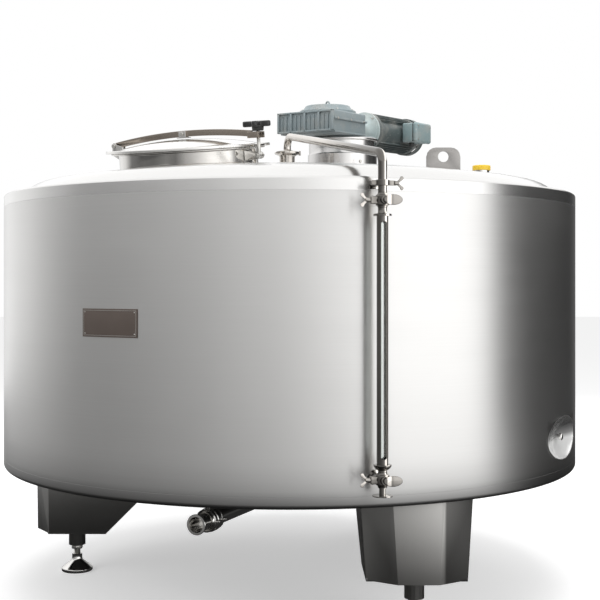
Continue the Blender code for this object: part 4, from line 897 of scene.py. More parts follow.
# ---------------------------------------------------------------- shell and vessel
@dataclass
class Shell(Assembly):
    """The jacket, its rolled rims and the pressed bottom."""

    radius: float = 1.0
    base_z: float = 0.4115
    rim_z: float = 1.3325
    sheet: float = 0.004
    top_skirt: float = 0.041
    bottom_skirt: float = 0.035
    top_corner: float = 0.008
    bottom_corner: float = 0.014
    seam_depth: float = 0.0012

    def build(self) -> None:
        """Makes the jacket, both rims, the pan and the welds."""
        inner = self.radius - self.sheet
        upper, lower = self.rim_z - self.top_skirt, self.base_z + self.bottom_skirt
        v = self.seam_depth
        holes = side_places()
        rings = sorted(
            {round(self.base_z + z + side * (r + 0.002), 4) for _, z, r, _ in holes for side in (-1, 1)})
        body = turned(
            "jacket_wall", [(self.radius, upper - v)] + [(self.radius, z) for z in reversed(rings)]
            + [(self.radius, lower + v), (self.radius - v, lower + GAP), (inner, lower + GAP),
                (inner, upper - GAP), (self.radius - v, upper - GAP)], sides=ROUND_LARGE)
        ways = [
            rod("hole", r, -0.03, 0.03, ROUND_FINE,
                outward(azimuth, self.radius, self.base_z + z) @ Matrix.Diagonal((stretch, 1, 1, 1)))
            for azimuth, z, r, stretch in holes]
        self.own(cut(body, ways), "jacket", "outer_jacket")
        seat = head_ring_radius()
        corner = (self.radius - self.top_corner, self.rim_z - self.top_corner)
        lip = 0.0025
        profile = [(seat, self.rim_z - lip)] + arc((seat + lip, self.rim_z - lip), lip, 180, 90, 4)[1:]
        profile += arc(corner, self.top_corner, 90, 0, 8) + [
            (self.radius, upper + v), (self.radius - v, upper + GAP)]
        profile += [(inner, upper + GAP)] + arc(corner, self.top_corner - self.sheet, 0, 90, 5)
        profile += [(seat, self.rim_z - self.sheet)]
        self.own(turned("top_rim", profile, sides=ROUND_LARGE), "rim", "top_ring")
        low = (self.radius - self.bottom_corner, self.base_z + self.bottom_corner)
        profile = [
            (self.radius - v, lower - GAP), (self.radius, lower - v)] + arc(
            low, self.bottom_corner, 0, -90, 10)
        profile += [(0.033, self.base_z), (0.033, self.base_z + self.sheet)]
        profile += arc(low, self.bottom_corner - self.sheet, -90, 0, 8) + [(inner, lower - GAP)]
        self.own(turned("pressed_bottom", profile, sides=ROUND_LARGE), "jacket", "bottom_pan")
        for name, z in (("upper_seam", upper), ("lower_seam", lower)):
            weld = turned(
                name, [(self.radius - 0.0005, z + 0.0018), (self.radius - 0.0002, z),
                    (self.radius - 0.0005, z - 0.0018), (self.radius - 0.003, z - 0.0010),
                    (self.radius - 0.003, z + 0.0010)], sides=ROUND_LARGE, angle=70)
            self.own(weld, "jacket")
        seam = cube(
            "jacket_seam", (-0.0016, self.radius - 0.003, lower + 0.004),
            (0.0016, self.radius - 0.0003, upper - 0.004), bevel=0.0008, segments=2)
        self.own(seam, "weld", slot="jacket_steel")
        self.dress("foam", "insulation")
        self.dress("vessel", "evaporator_plate")


HEAD_CROWN, HEAD_KNUCKLE, VESSEL_R = 6.0, 0.100, 0.955
KNUCKLE_R, KNUCKLE_Z = VESSEL_R - HEAD_KNUCKLE, 1.276
CROWN_Z = KNUCKLE_Z - math.sqrt((HEAD_CROWN - HEAD_KNUCKLE) ** 2 - KNUCKLE_R**2)


def head_z(r: float, inset: float = 0.0) -> float:
    """Height of the dished head at a radius, or of a surface inset below it."""
    crown, knuckle = HEAD_CROWN - inset, HEAD_KNUCKLE - inset
    if r <= crown * KNUCKLE_R / (HEAD_CROWN - HEAD_KNUCKLE):
        return CROWN_Z + math.sqrt(crown**2 - r**2)
    return KNUCKLE_Z + math.sqrt(max(knuckle**2 - (r - KNUCKLE_R) ** 2, 0.0))


def head_ring_radius() -> float:
    """Inner radius of the top ring, just clear of the head."""
    rise = Shell.rim_z - Shell.sheet - KNUCKLE_Z
    return KNUCKLE_R + math.sqrt(HEAD_KNUCKLE**2 - rise**2) + 2 * GAP


def head_section(inset: float) -> list[tuple[float, float]]:
    """The head's curve from its apex to the foot of its knuckle."""
    tangent = (HEAD_CROWN - inset) * KNUCKLE_R / (HEAD_CROWN - HEAD_KNUCKLE)
    turn = math.degrees(math.asin(tangent / (HEAD_CROWN - inset)))
    crown = [(tangent * i / 16, head_z(tangent * i / 16, inset)) for i in range(17)]
    return crown + arc((KNUCKLE_R, KNUCKLE_Z), HEAD_KNUCKLE - inset, 90 - turn, 0, 10)[1:]


def side_places() -> list[tuple[float, float, float, float]]:
    """Azimuth, height above the bottom edge, radius and stretch of each way through the jacket."""
    port = SideFittings.port_azimuth
    return [
        (SideFittings.cup_azimuth, SideFittings.cup_z, SideFittings.cup_way_r, SideFittings.cup_stretch),
        (Gauge.azimuth, Gauge.low_z, Gauge.stub_way_r, 1),
        (math.pi - port, SideFittings.inlet_z, SideFittings.port_way_r, 1),
        (math.pi + port, SideFittings.outlet_z, SideFittings.port_way_r, 1)]


@dataclass
class Vessel(Assembly):
    """The inner vessel: its dished head, wall and floor."""

    sheet: float = 0.004
    low_z: float = 0.495
    fall: float = 0.020

    def build(self, manway: Matrix, drive: Matrix) -> None:
        """Makes the head with its openings, the wall and the floor."""
        head = turned(
            "dished_head", head_section(0.0) + list(reversed(head_section(self.sheet))), sides=ROUND_LARGE)
        over, port = shift(Gauge.over_x, Gauge.over_y), shift(HeadFittings.port_x, HeadFittings.port_y)
        cut(head, (
            rod("manway_way", Manway.neck_r + 0.0005, -0.3, 0.3, ROUND_MEDIUM, manway),
            rod("stand_way", Drive.stand_r + GAP, -0.1, 0.1, ROUND_MEDIUM, drive),
            rod("balance_way", Gauge.nozzle_r + GAP, 1.3, 1.6, ROUND_FINE, over),
            rod("port_way", HeadFittings.port_r + GAP, 1.3, 1.6, ROUND_FINE, port)))
        self.own(head, "head", "vessel_head")
        inner = VESSEL_R - self.sheet
        wall = turned(
            "vessel_side", [(VESSEL_R, KNUCKLE_Z - GAP), (VESSEL_R, self.low_z + GAP),
                (inner, self.low_z + GAP), (inner, KNUCKLE_Z - GAP)], sides=ROUND_MEDIUM)
        self.own(wall, "vessel", "vessel_wall")
        low = self.low_z - self.fall
        floor = turned(
            "vessel_floor", [(0.0262, low), (VESSEL_R, self.low_z - GAP),
                (VESSEL_R, self.low_z - self.sheet), (0.0262, low - self.sheet)], sides=ROUND_MEDIUM)
        self.own(floor, "vessel", "vessel_bottom")


# ---------------------------------------------------------------- manway
@dataclass
class Manway(Assembly):
    """The clamped manway: neck, dished lid, arched arm, swing bolt and star knob."""

    x: float = -0.331
    y: float = -0.390
    rise: float = 0.1435
    tilt: float = 7.9
    lean_azimuth: float = math.radians(-24.6)
    turn: float = -32.0
    neck_r: float = 0.226
    neck_len: float = 0.115
    flange_r: float = 0.250
    lid_r: float = 0.267
    lid_flat_r: float = 0.236
    lid_rise: float = 0.026
    hinge_x: float = -0.305
    hinge_z: float = 0.020
    arm_h: float = 0.020
    arm_t: float = 0.008
    arm_peak_z: float = 0.047
    bolt_x: float = 0.276
    bolt_pin_z: float = -0.034
    bolt_len: float = 0.076
    fork_end: float = 0.012
    latch_gap: float = 0.0014
    thread_r: float = 0.0059
    thread_pitch: float = 0.0016
    thread_turns: int = 18
    pin_head_r: float = 0.0068
    pin_head_t: float = 0.0032
    knob_r: float = 0.047
    lobes: int = 5

    def seat(self) -> Matrix:
        """The lid seat's frame: local Z is the neck's axis, local X runs from the hinge to the clamp."""
        lean = Matrix.Rotation(math.radians(self.tilt), 4, Z.cross(bearing(self.lean_azimuth, 1, 0)))
        return shift(self.x, self.y, Shell.rim_z + self.rise) @ lean @ spin(self.turn, "Z")

    def arm_z(self, x: float) -> float:
        """Height of the arm's middle line, a parabola through hinge, peak and fork."""
        right = self.bolt_x + self.fork_end
        high = self.bolt_pin_z + self.bolt_len - self.arm_h / 2 - self.latch_gap
        t = (x - self.hinge_x) / (right - self.hinge_x)
        return self.hinge_z + (high - self.hinge_z) * t + 4 * (self.arm_peak_z
            - (self.hinge_z + high) / 2) * t * (1 - t)

    def build(self) -> None:
        """Makes every piece of the manway."""
        seat = self.seat()
        self._neck(seat)
        self._lid(seat)
        self._arm(seat)
        self._clamp(seat)

    def _neck(self, seat: Matrix) -> None:
        """The collar with its rolled flange, and the weld where it meets the head."""
        top, r, inner = -0.0052, self.neck_r, self.neck_r - 0.004
        edge = arc((self.flange_r - 0.003, top - 0.003), 0.003, 90, -90, 8)
        profile = [(inner, top)] + edge + [(r + 0.004, top - 0.006)]
        profile += arc((r + 0.004, top - 0.010), 0.004, 90, 180, 4) + [(r, -self.neck_len),
            (inner, -self.neck_len)]
        self.own(turned("manway_collar", profile, seat, ROUND_LARGE), "neck", "manway_neck")
        line = []
        for i in range(ROUND_MEDIUM):
            t = 2 * math.pi * i / ROUND_MEDIUM
            low, high = -self.neck_len, 0.0
            for _ in range(30):
                middle = (low + high) / 2
                point = seat @ Vector((r * math.cos(t), r * math.sin(t), middle))
                low, high = (middle, high) if point.z < head_z(point.xy.length) else (low, middle)
            line.append(point)
        self.own(bead("manway_weld", line), "weld")

    def _lid(self, seat: Matrix) -> None:
        """The dished lid with its turned-down rim, and the seal under it."""
        thick, top = 0.003, 0.0037
        crown = (self.lid_flat_r**2 + self.lid_rise**2) / (2 * self.lid_rise)
        dome = [
            (r, top + self.lid_rise - crown + math.sqrt(crown**2 - r**2))
            for r in (self.lid_flat_r * i / 20 for i in range(21))]
        under = [(r, z - thick) for r, z in reversed(dome)]
        edge = arc((self.lid_r - 0.003, top - 0.003), 0.003, 90, 0, 5)
        low = -0.0053
        lip = arc((self.lid_r - 0.0015, low + 0.0015), 0.0015, 0, -180, 6)
        profile = dome + [(self.lid_flat_r + 0.006, top)] + edge + lip
        profile += [(self.lid_r - 0.003, top - thick), (self.lid_flat_r + 0.006, top - thick)] + under
        self.own(turned("dished_lid", profile, seat, ROUND_LARGE), "polish", "manway_lid", body="lid")
        middle = (self.flange_r + self.neck_r - 0.004) / 2
        seal = turned("lid_seal", arc((middle, -0.0022), 0.0028, 0, 360, 12)[:-1], seat, ROUND_MEDIUM)
        self.own(seal, "seal", "lid_gasket", body="lid")

    def _arm(self, seat: Matrix) -> None:
        """The arched flat bar on edge, its fork, the clevis on the lid and the hinge behind."""
        upright = seat @ spin(90, "X")
        stop = self.bolt_x + self.fork_end
        stations = [self.hinge_x + (stop - 0.034 - self.hinge_x) * i / 30 for i in range(1, 31)]
        half = self.arm_h / 2
        outline = [(x, self.arm_z(x) - half) for x in stations] + [
            (x, self.arm_z(x) + half) for x in reversed(stations)]
        outline += arc((self.hinge_x, self.hinge_z), half, 85, 275, 14)
        bar = slab("arm_bar", outline, self.arm_t, upright, 0.0008)
        cut(bar, [rod("eye", 0.0053, -0.02, 0.02, ROUND_FINE, upright @ shift(self.hinge_x, self.hinge_z))])
        self.own(bar, "arm", "lid_arm", body="lid")
        top = self.arm_z(stop)
        fork = cube("arm_fork", (stop - 0.042, -0.019, top - half), (stop, 0.019, top + half), seat, 0.0015)
        mouth = cube(
            "mouth", (self.bolt_x - 0.0085, -0.0065, top - 0.04), (stop + 0.02, 0.0065, top + 0.04), seat)
        cut(fork, [mouth])
        self.own(smooth(fork), "arm", body="lid")
        self.refine("lid_clevis", "polish", 0.0012, 3, body="lid")
        for name in ("hinge_bracket", "bolt_bracket"):
            self.refine(name, "polish", 0.0010)
        pins = (
            ("hinge", self.hinge_x, self.hinge_z, "tank", 0.0132),
            ("clevis", -0.015, self.arm_z(-0.015), "lid", 0.0132),
            ("bolt", self.bolt_x, self.bolt_pin_z, "tank", 0.0155))
        for name, x, z, body, reach in pins:
            for side in (-1, 1):
                head = rod(
                    f"{name}_pin_head_{'front' if side < 0 else 'back'}",
                    self.pin_head_r, 0, self.pin_head_t, ROUND_TINY,
                    seat @ shift(x, side * reach, z) @ spin(-90 * side, "X"), 0.0009)
                self.own(head, "screw", body=body)

    def _clamp(self, seat: Matrix) -> None:
        """The threaded swing bolt and its star knob."""
        swing = seat @ shift(self.bolt_x, 0, self.bolt_pin_z)
        self.refine("swing_bolt", "screw", 0.0006, body="clamp_bolt")
        pitch, crest = self.thread_pitch, self.thread_r
        start = self.bolt_len - 0.034
        ridges = [
            (crest if i % 2 else crest - 0.0009, start + pitch * i / 2)
            for i in range(2 * self.thread_turns)]
        thread = turned(
            "bolt_thread", [(0.0030, start)] + ridges + [(0.0030, ridges[-1][1])], swing, ROUND_TINY)
        self.own(thread, "screw", body="clamp_bolt")
        low, high, thick = self.bolt_len, self.bolt_len + 0.014, 0.018
        steps = self.lobes * 16
        outline = []
        for i in range(steps):
            turn = 2 * math.pi * i / steps
            r = self.knob_r * (0.80 + 0.20 * math.cos(self.lobes * turn))
            outline.append((r * math.cos(turn), r * math.sin(turn)))
        knob = slab("knob_grip", outline, thick, swing @ shift(z=high + thick / 2 - 0.001), 0.0042)
        self.own(knob, "knob", "star_knob", body="star_knob")
        hub = turned(
            "knob_hub", [(0.0062, low), (0.0165, low), (0.018, low + 0.002), (0.0195, high + 0.001),
                (0.0062, high + 0.001)], swing)
        self.own(hub, "knob", body="star_knob")
        cap = turned(
            "knob_insert", [(0.0, high + thick + 0.0005), (0.008, high + thick - 0.0002),
                (0.0095, high + thick - 0.0012), (0.0, high + thick - 0.003)], swing)
        self.own(cap, "screw", body="star_knob", slot="knob_plastic")


# ---------------------------------------------------------------- agitator drive
@dataclass
class Drive(Assembly):
    """The agitator drive: stand, geared box, finned motor, and the paddle inside the vessel."""

    x: float = 0.190
    lean: float = 1.5
    turn: float = 54.0
    stand_r: float = 0.124
    stand_h: float = 0.116
    box_end: float = -0.238
    box_len: float = 0.218
    box_w: float = 0.232
    box_h: float = 0.073
    cover_x: float = -0.095
    cover_r: float = 0.100
    cover_h: float = 0.030
    eye_r: float = 0.0155
    eye_t: float = 0.0030
    motor_r: float = 0.068
    bell_end: float = 0.150
    motor_end: float = 0.437
    cowl_r: float = 0.071
    cowl_end: float = 0.476
    terminal_x: float = 0.376
    shield: float = 0.022
    fin_depth: float = 0.011
    fins: int = 44
    panels: int = 4
    flange: float = 0.006

    @property
    def low(self) -> float:
        """Height of the gearbox's underside above the stand's foot."""
        return self.stand_h + GAP + self.flange

    @property
    def high(self) -> float:
        """Height of the gearbox's top."""
        return self.low + self.box_h

    @property
    def axis_z(self) -> float:
        """Height of the motor's axis."""
        return (self.low + self.high) / 2

    def base(self) -> Matrix:
        """The stand's frame on the head: local Z is the agitator's axis."""
        return shift(self.x, 0, head_z(self.x)) @ spin(self.lean, "X")

    def build(self) -> None:
        """Makes every piece of the drive."""
        base = self.base()
        turned_frame = base @ spin(self.turn, "Z")
        along = turned_frame @ shift(z=self.axis_z) @ spin(90, "Y")
        self._stand(base)
        self._gearbox(turned_frame)
        self._cover(turned_frame)
        self._motor(along)
        self._terminal_box(turned_frame)
        self.refine("agitator_paddle", "vessel", 0.0015, body="agitator")
        self.refine("agitator_shaft", "polish", 0.0010, body="agitator", slot="vessel_steel")
        self.dress("screw", "motor_shaft")

    def _stand(self, base: Matrix) -> None:
        """The spun stand with its lip, foot weld and clamp screws."""
        r, h, t = self.stand_r, self.stand_h, 0.005
        lip = arc((r + 0.001, h - 0.003), 0.003, 90, 0, 4) + arc((r + 0.001, h - 0.007), 0.003, 0, -90, 4)
        profile = [(r - 0.004 - t, h)] + lip + [
            (r - 0.004, h - 0.011), (r - 0.004, 0.062), (r - 0.003, 0.0595)]
        profile += [
            (r, 0.058), (r, -0.014), (0.016, -0.014), (0.016, -0.009), (r - t, -0.009), (r - t, 0.050),
            (r - 0.004 - t, 0.052)]
        self.own(turned("drive_pedestal", profile, base, ROUND_LARGE), "stand", "drive_stand")
        line = []
        for i in range(ROUND_FINE):
            t = 2 * math.pi * i / ROUND_FINE
            at = base @ Vector((r * math.cos(t), r * math.sin(t), 0))
            line.append(Vector((at.x, at.y, head_z(at.xy.length))))
        self.own(bead("stand_weld", line), "weld")
        under = shift(r - 0.012, 0, h - 0.012) @ spin(180, "X")
        self.bolts(
            "stand_bolt", 0.0075, 0.0055, [base @ spin(22.5 + 45 * i, "Z") @ under for i in range(8)])
        spot = base @ spin(-62, "Z") @ shift(r - 0.0005, 0, 0.030) @ spin(90, "Y")
        self.own(hex_bolt("drain_screw", 0.0055, 0.004, spot), "screw")

    def _gearbox(self, at: Matrix) -> None:
        """The cast housing with panelled ends, a parting rib and its screws."""
        start, stop, w = self.box_end, self.box_end + self.box_len, self.box_w / 2
        core = cube(
            "gearbox_case", (start + 0.007, -w + 0.004, self.low), (stop, w - 0.004, self.high), at, 0.004)
        self.own(core, "gearbox", "gearbox_housing")
        rails = [
            cube("rail", (start, -w, z), (start + 0.012, w, z + 0.006), at, 0.0015, 2)
            for z in (self.low + 0.001, self.high - 0.007)]
        pitch = self.box_w / self.panels
        for i in range(self.panels + 1):
            y = max(-w, min(w - 0.008, -w + pitch * i - 0.004))
            rails.append(
                cube("rib", (start, y, self.low + 0.001),
                    (start + 0.012, y + 0.008, self.high - 0.001), at, 0.0015, 2))
        for i in range(self.panels):
            for share in (0.36, 0.66):
                y = -w + pitch * (i + share)
                rails.append(
                    cube("fin", (start + 0.003, y - 0.0015, self.low + 0.006),
                        (start + 0.010, y + 0.0015, self.high - 0.014), at, 0.0006, 2))
        self.join("gearbox_end_ribs", rails, "gearbox")
        mid = self.axis_z + 0.008
        belt = [
            cube("belt", (start + 0.012, side * w - 0.0045, mid - 0.0035),
                (stop - 0.002, side * w + 0.0045, mid + 0.0035), at, 0.0012, 2) for side in (-1, 1)]
        belt.append(
            cube("belt", (start + 0.020, -w + 0.001, self.low - 0.003),
                (stop - 0.006, w - 0.001, self.low + 0.003), at, 0.0015, 2))
        self.join("gearbox_belt", belt, "gearbox")
        boss = turned(
            "gearbox_boss", [(0.016, self.axis_z), (0.078, self.axis_z), (0.078, self.low - 0.001),
                (self.stand_r - 0.008, self.low - 0.001), (self.stand_r - 0.006, self.low - 0.003),
                (self.stand_r - 0.006, self.low - 0.006), (0.016, self.low - 0.006)], at, ROUND_MEDIUM)
        self.own(boss, "gearbox")
        swell = turned(
            "gearbox_bulge", [(0.0, self.high - 0.001), (self.cover_r - 0.004, self.high - 0.001),
                (self.cover_r, self.high - 0.005), (self.cover_r, self.low + 0.006),
                (self.cover_r - 0.004, self.low + 0.002), (0.0, self.low + 0.002)],
            at @ shift(self.cover_x), ROUND_MEDIUM)
        self.own(swell, "gearbox")
        saddle = cube(
            "gearbox_neck", (stop - 0.010, -0.045, self.low + 0.002),
            (0.076, 0.045, self.high - 0.002), at, 0.012, 5)
        self.own(saddle, "gearbox")
        spots = [
            at @ shift(start + 0.030 + (self.box_len - 0.055) * i / 2, side * (w + 0.0040), mid)
            @ spin(-90 * side, "X") for side in (-1, 1) for i in range(3)]
        self.bolts("case_screw", 0.0038, 0.0030, spots, "drive_paint")

    def _cover(self, at: Matrix) -> None:
        """The round bearing cover in two tiers, its screws and the lifting eye."""
        r, z = self.cover_r, self.high
        profile = [(0, z + self.cover_h), (r - 0.026, z + self.cover_h)]
        profile += arc((r - 0.026, z + self.cover_h - 0.006), 0.006, 90, 10, 5)
        profile += [(r - 0.013, z + 0.016), (r - 0.011, z + 0.0125), (r - 0.003, z + 0.0115)]
        profile += arc((r - 0.003, z + 0.0085), 0.003, 90, 0, 4) + [(r, z + GAP), (0, z + GAP)]
        middle = at @ shift(self.cover_x)
        self.own(turned("bearing_cover", profile, middle, ROUND_MEDIUM), "gearbox", "gearbox_cover")
        spots = [middle @ spin(45 * i + 10, "Z") @ shift(r - 0.0065, 0, z + 0.0110) for i in range(8)]
        self.bolts("cover_screw", 0.0042, 0.0035, spots, "drive_paint")
        bpy.ops.mesh.primitive_torus_add(
            major_radius=self.eye_r, minor_radius=self.eye_t, major_segments=40, minor_segments=14)
        ring = settle(
            named("ring"), middle @ shift(z=z + self.cover_h + 0.0010) @ spin(60, "Z") @ spin(90, "X"))
        foot = turned(
            "foot", [(0.0, z + self.cover_h + 0.0025), (0.009, z + self.cover_h + 0.0025),
                (0.0105, z + self.cover_h + 0.001), (0.0105, z + self.cover_h - 0.001),
                (0.0, z + self.cover_h - 0.001)], middle, ROUND_TINY)
        self.join("lifting_eye", [ring, foot], "gearbox")

    def _motor(self, along: Matrix) -> None:
        """The adaptor bell, the finned body with its end shields, and the fan cowl."""
        r, start, stop = self.motor_r, self.bell_end, self.motor_end
        bell = [(0.013, start)] + arc((r - 0.002, start - 0.002), 0.002, 90, 0, 3)
        bell += [(r, start - 0.010), (r - 0.006, start - 0.012)]
        bell += [
            (0.036 + 0.026 * (1 - t) ** 2, start - 0.014 - 0.020 * t) for t in (0.0, 0.25, 0.5, 0.75, 1.0)]
        bell += [(0.034, 0.0785), (0.013, 0.0785)]
        self.own(turned("motor_bell", bell, along, ROUND_MEDIUM), "adaptor", "motor_adaptor")
        core_r, shield = r - self.fin_depth, self.shield
        core = turned(
            "motor_frame", [(core_r, stop - shield), (core_r, start + shield), (0.013, start + shield),
                (0.013, stop - shield)], along, ROUND_MEDIUM)
        self.own(core, "motor", "motor_housing")
        for name, low, high in (("drive_shield", start + GAP, start + shield),
                ("fan_shield", stop - shield, stop)):
            ring = [(0.013, high)] + arc((r - 0.003, high - 0.003), 0.003, 90, 0, 4)
            ring += arc((r - 0.003, low + 0.003), 0.003, 0, -90, 4) + [(0.013, low)]
            self.own(turned(name, ring, along, ROUND_MEDIUM), "motor")
        fins = []
        for i in range(self.fins):
            angle = 360 * i / self.fins
            if abs((angle - 270 + 180) % 360 - 180) < 34:
                continue
            fins.append(
                cube("fin", (core_r - 0.002, -0.0011, start + shield - 0.001),
                    (r - 0.0004, 0.0011, stop - shield + 0.001), along @ spin(angle, "Z"), 0.0006, 1))
        self.join("motor_fins", fins, "motor")
        c, low, high = self.cowl_r, stop + GAP, self.cowl_end
        skirt = [(c, low), (c, high - 0.011)] + arc((c - 0.011, high - 0.011), 0.011, 0, 70, 6)
        skirt += [(c - 0.014, high - 0.0006), (c - 0.014, high - 0.0026)]
        skirt += arc((c - 0.013, high - 0.013), 0.011, 80, 0, 6) + [(c - 0.002, low)]
        self.own(turned("cowl_skirt", skirt, along, ROUND_MEDIUM), "motor", "fan_cowl")
        wires = [
            turned("ring", arc((c - 0.013 - 0.0085 * i, high - 0.0016), 0.0015, 0, 360, 8)[:-1], along)
            for i in range(6)]
        wires.append(rod("hub", 0.0090, high - 0.0030, high - 0.0002, ROUND_FINE, along, 0.0008))
        for i in range(4):
            wires.append(
                cube("spoke", (-c + 0.0125, -0.0014, high - 0.0030), (c - 0.0125, 0.0014, high - 0.0008),
                    along @ spin(45 * i, "Z"), 0.0006, 1))
        self.join("cowl_grille", wires, "motor")
        behind = shift(r - 0.010, 0, start - 0.0118) @ spin(180, "X")
        self.bolts(
            "bell_bolt", 0.0055, 0.0050,
            [along @ spin(45 + 90 * i, "Z") @ behind for i in range(4)], "motor_paint")

    def _terminal_box(self, at: Matrix) -> None:
        """The terminal box with a separate rounded lid, its screws and a gland."""
        half, deep, tall = 0.0575, 0.068, 0.076
        back = -self.motor_r + 0.012 - 0.004
        front = -self.motor_r + 0.012 - deep
        low, high = self.axis_z - tall / 2 + 0.004, self.axis_z + tall / 2 + 0.004
        split = front + 0.020
        box = cube(
            "terminal_case", (self.terminal_x - half + 0.002, split, low + 0.002),
            (self.terminal_x + half - 0.002, back, high - 0.002), at, 0.005, 4)
        self.own(box, "box", "terminal_box")
        lid = cube(
            "terminal_lid", (self.terminal_x - half, front, low),
            (self.terminal_x + half, split - 0.0008, high), at, 0.009, 5)
        self.own(lid, "box")
        rim = cube(
            "terminal_seal", (self.terminal_x - half + 0.004, split - 0.002, low + 0.004),
            (self.terminal_x + half - 0.004, split + 0.001, high - 0.004), at, 0.0005, 1)
        self.own(rim, "dark_rubber")
        for i in range(4):
            x = self.terminal_x + (half - 0.013) * (1 if i % 2 else -1)
            z = (low + high) / 2 + (tall / 2 - 0.013) * (1 if i // 2 else -1)
            spot = at @ shift(x, front, z) @ spin(90, "X")
            self.own(
                rod(f"lid_screw_{i}", 0.0036, -0.001, 0.0012, ROUND_TINY, spot, 0.0005), "screw",
                slot="drive_paint")
        spot = at @ shift(self.terminal_x - 0.022, (split + back) / 2, low + 0.003) @ spin(180, "X")
        gland = turned(
            "cable_gland", [(0, 0), (0.0105, 0), (0.0105, 0.006), (0.0090, 0.0065), (0.0090, 0.0135),
                (0.0070, 0.0165), (0.0045, 0.0168), (0.0045, 0.012), (0, 0.012)], spot, ROUND_TINY)
        self.own(gland, "dark_rubber")


def hex_bolt(name: str, across: float, height: float, matrix: Matrix) -> bpy.types.Object:
    """A hexagon head with a washer face, standing on the frame's XY plane."""
    washer = rod("washer", across * 1.15, -0.0005, 0.0012, ROUND_TINY, matrix)
    head = rod("head", across, 0.0010, height, 6, matrix)
    rounded(head, 0.0006, 2, 50)
    return smooth(merged(name, [head, washer]), 30)


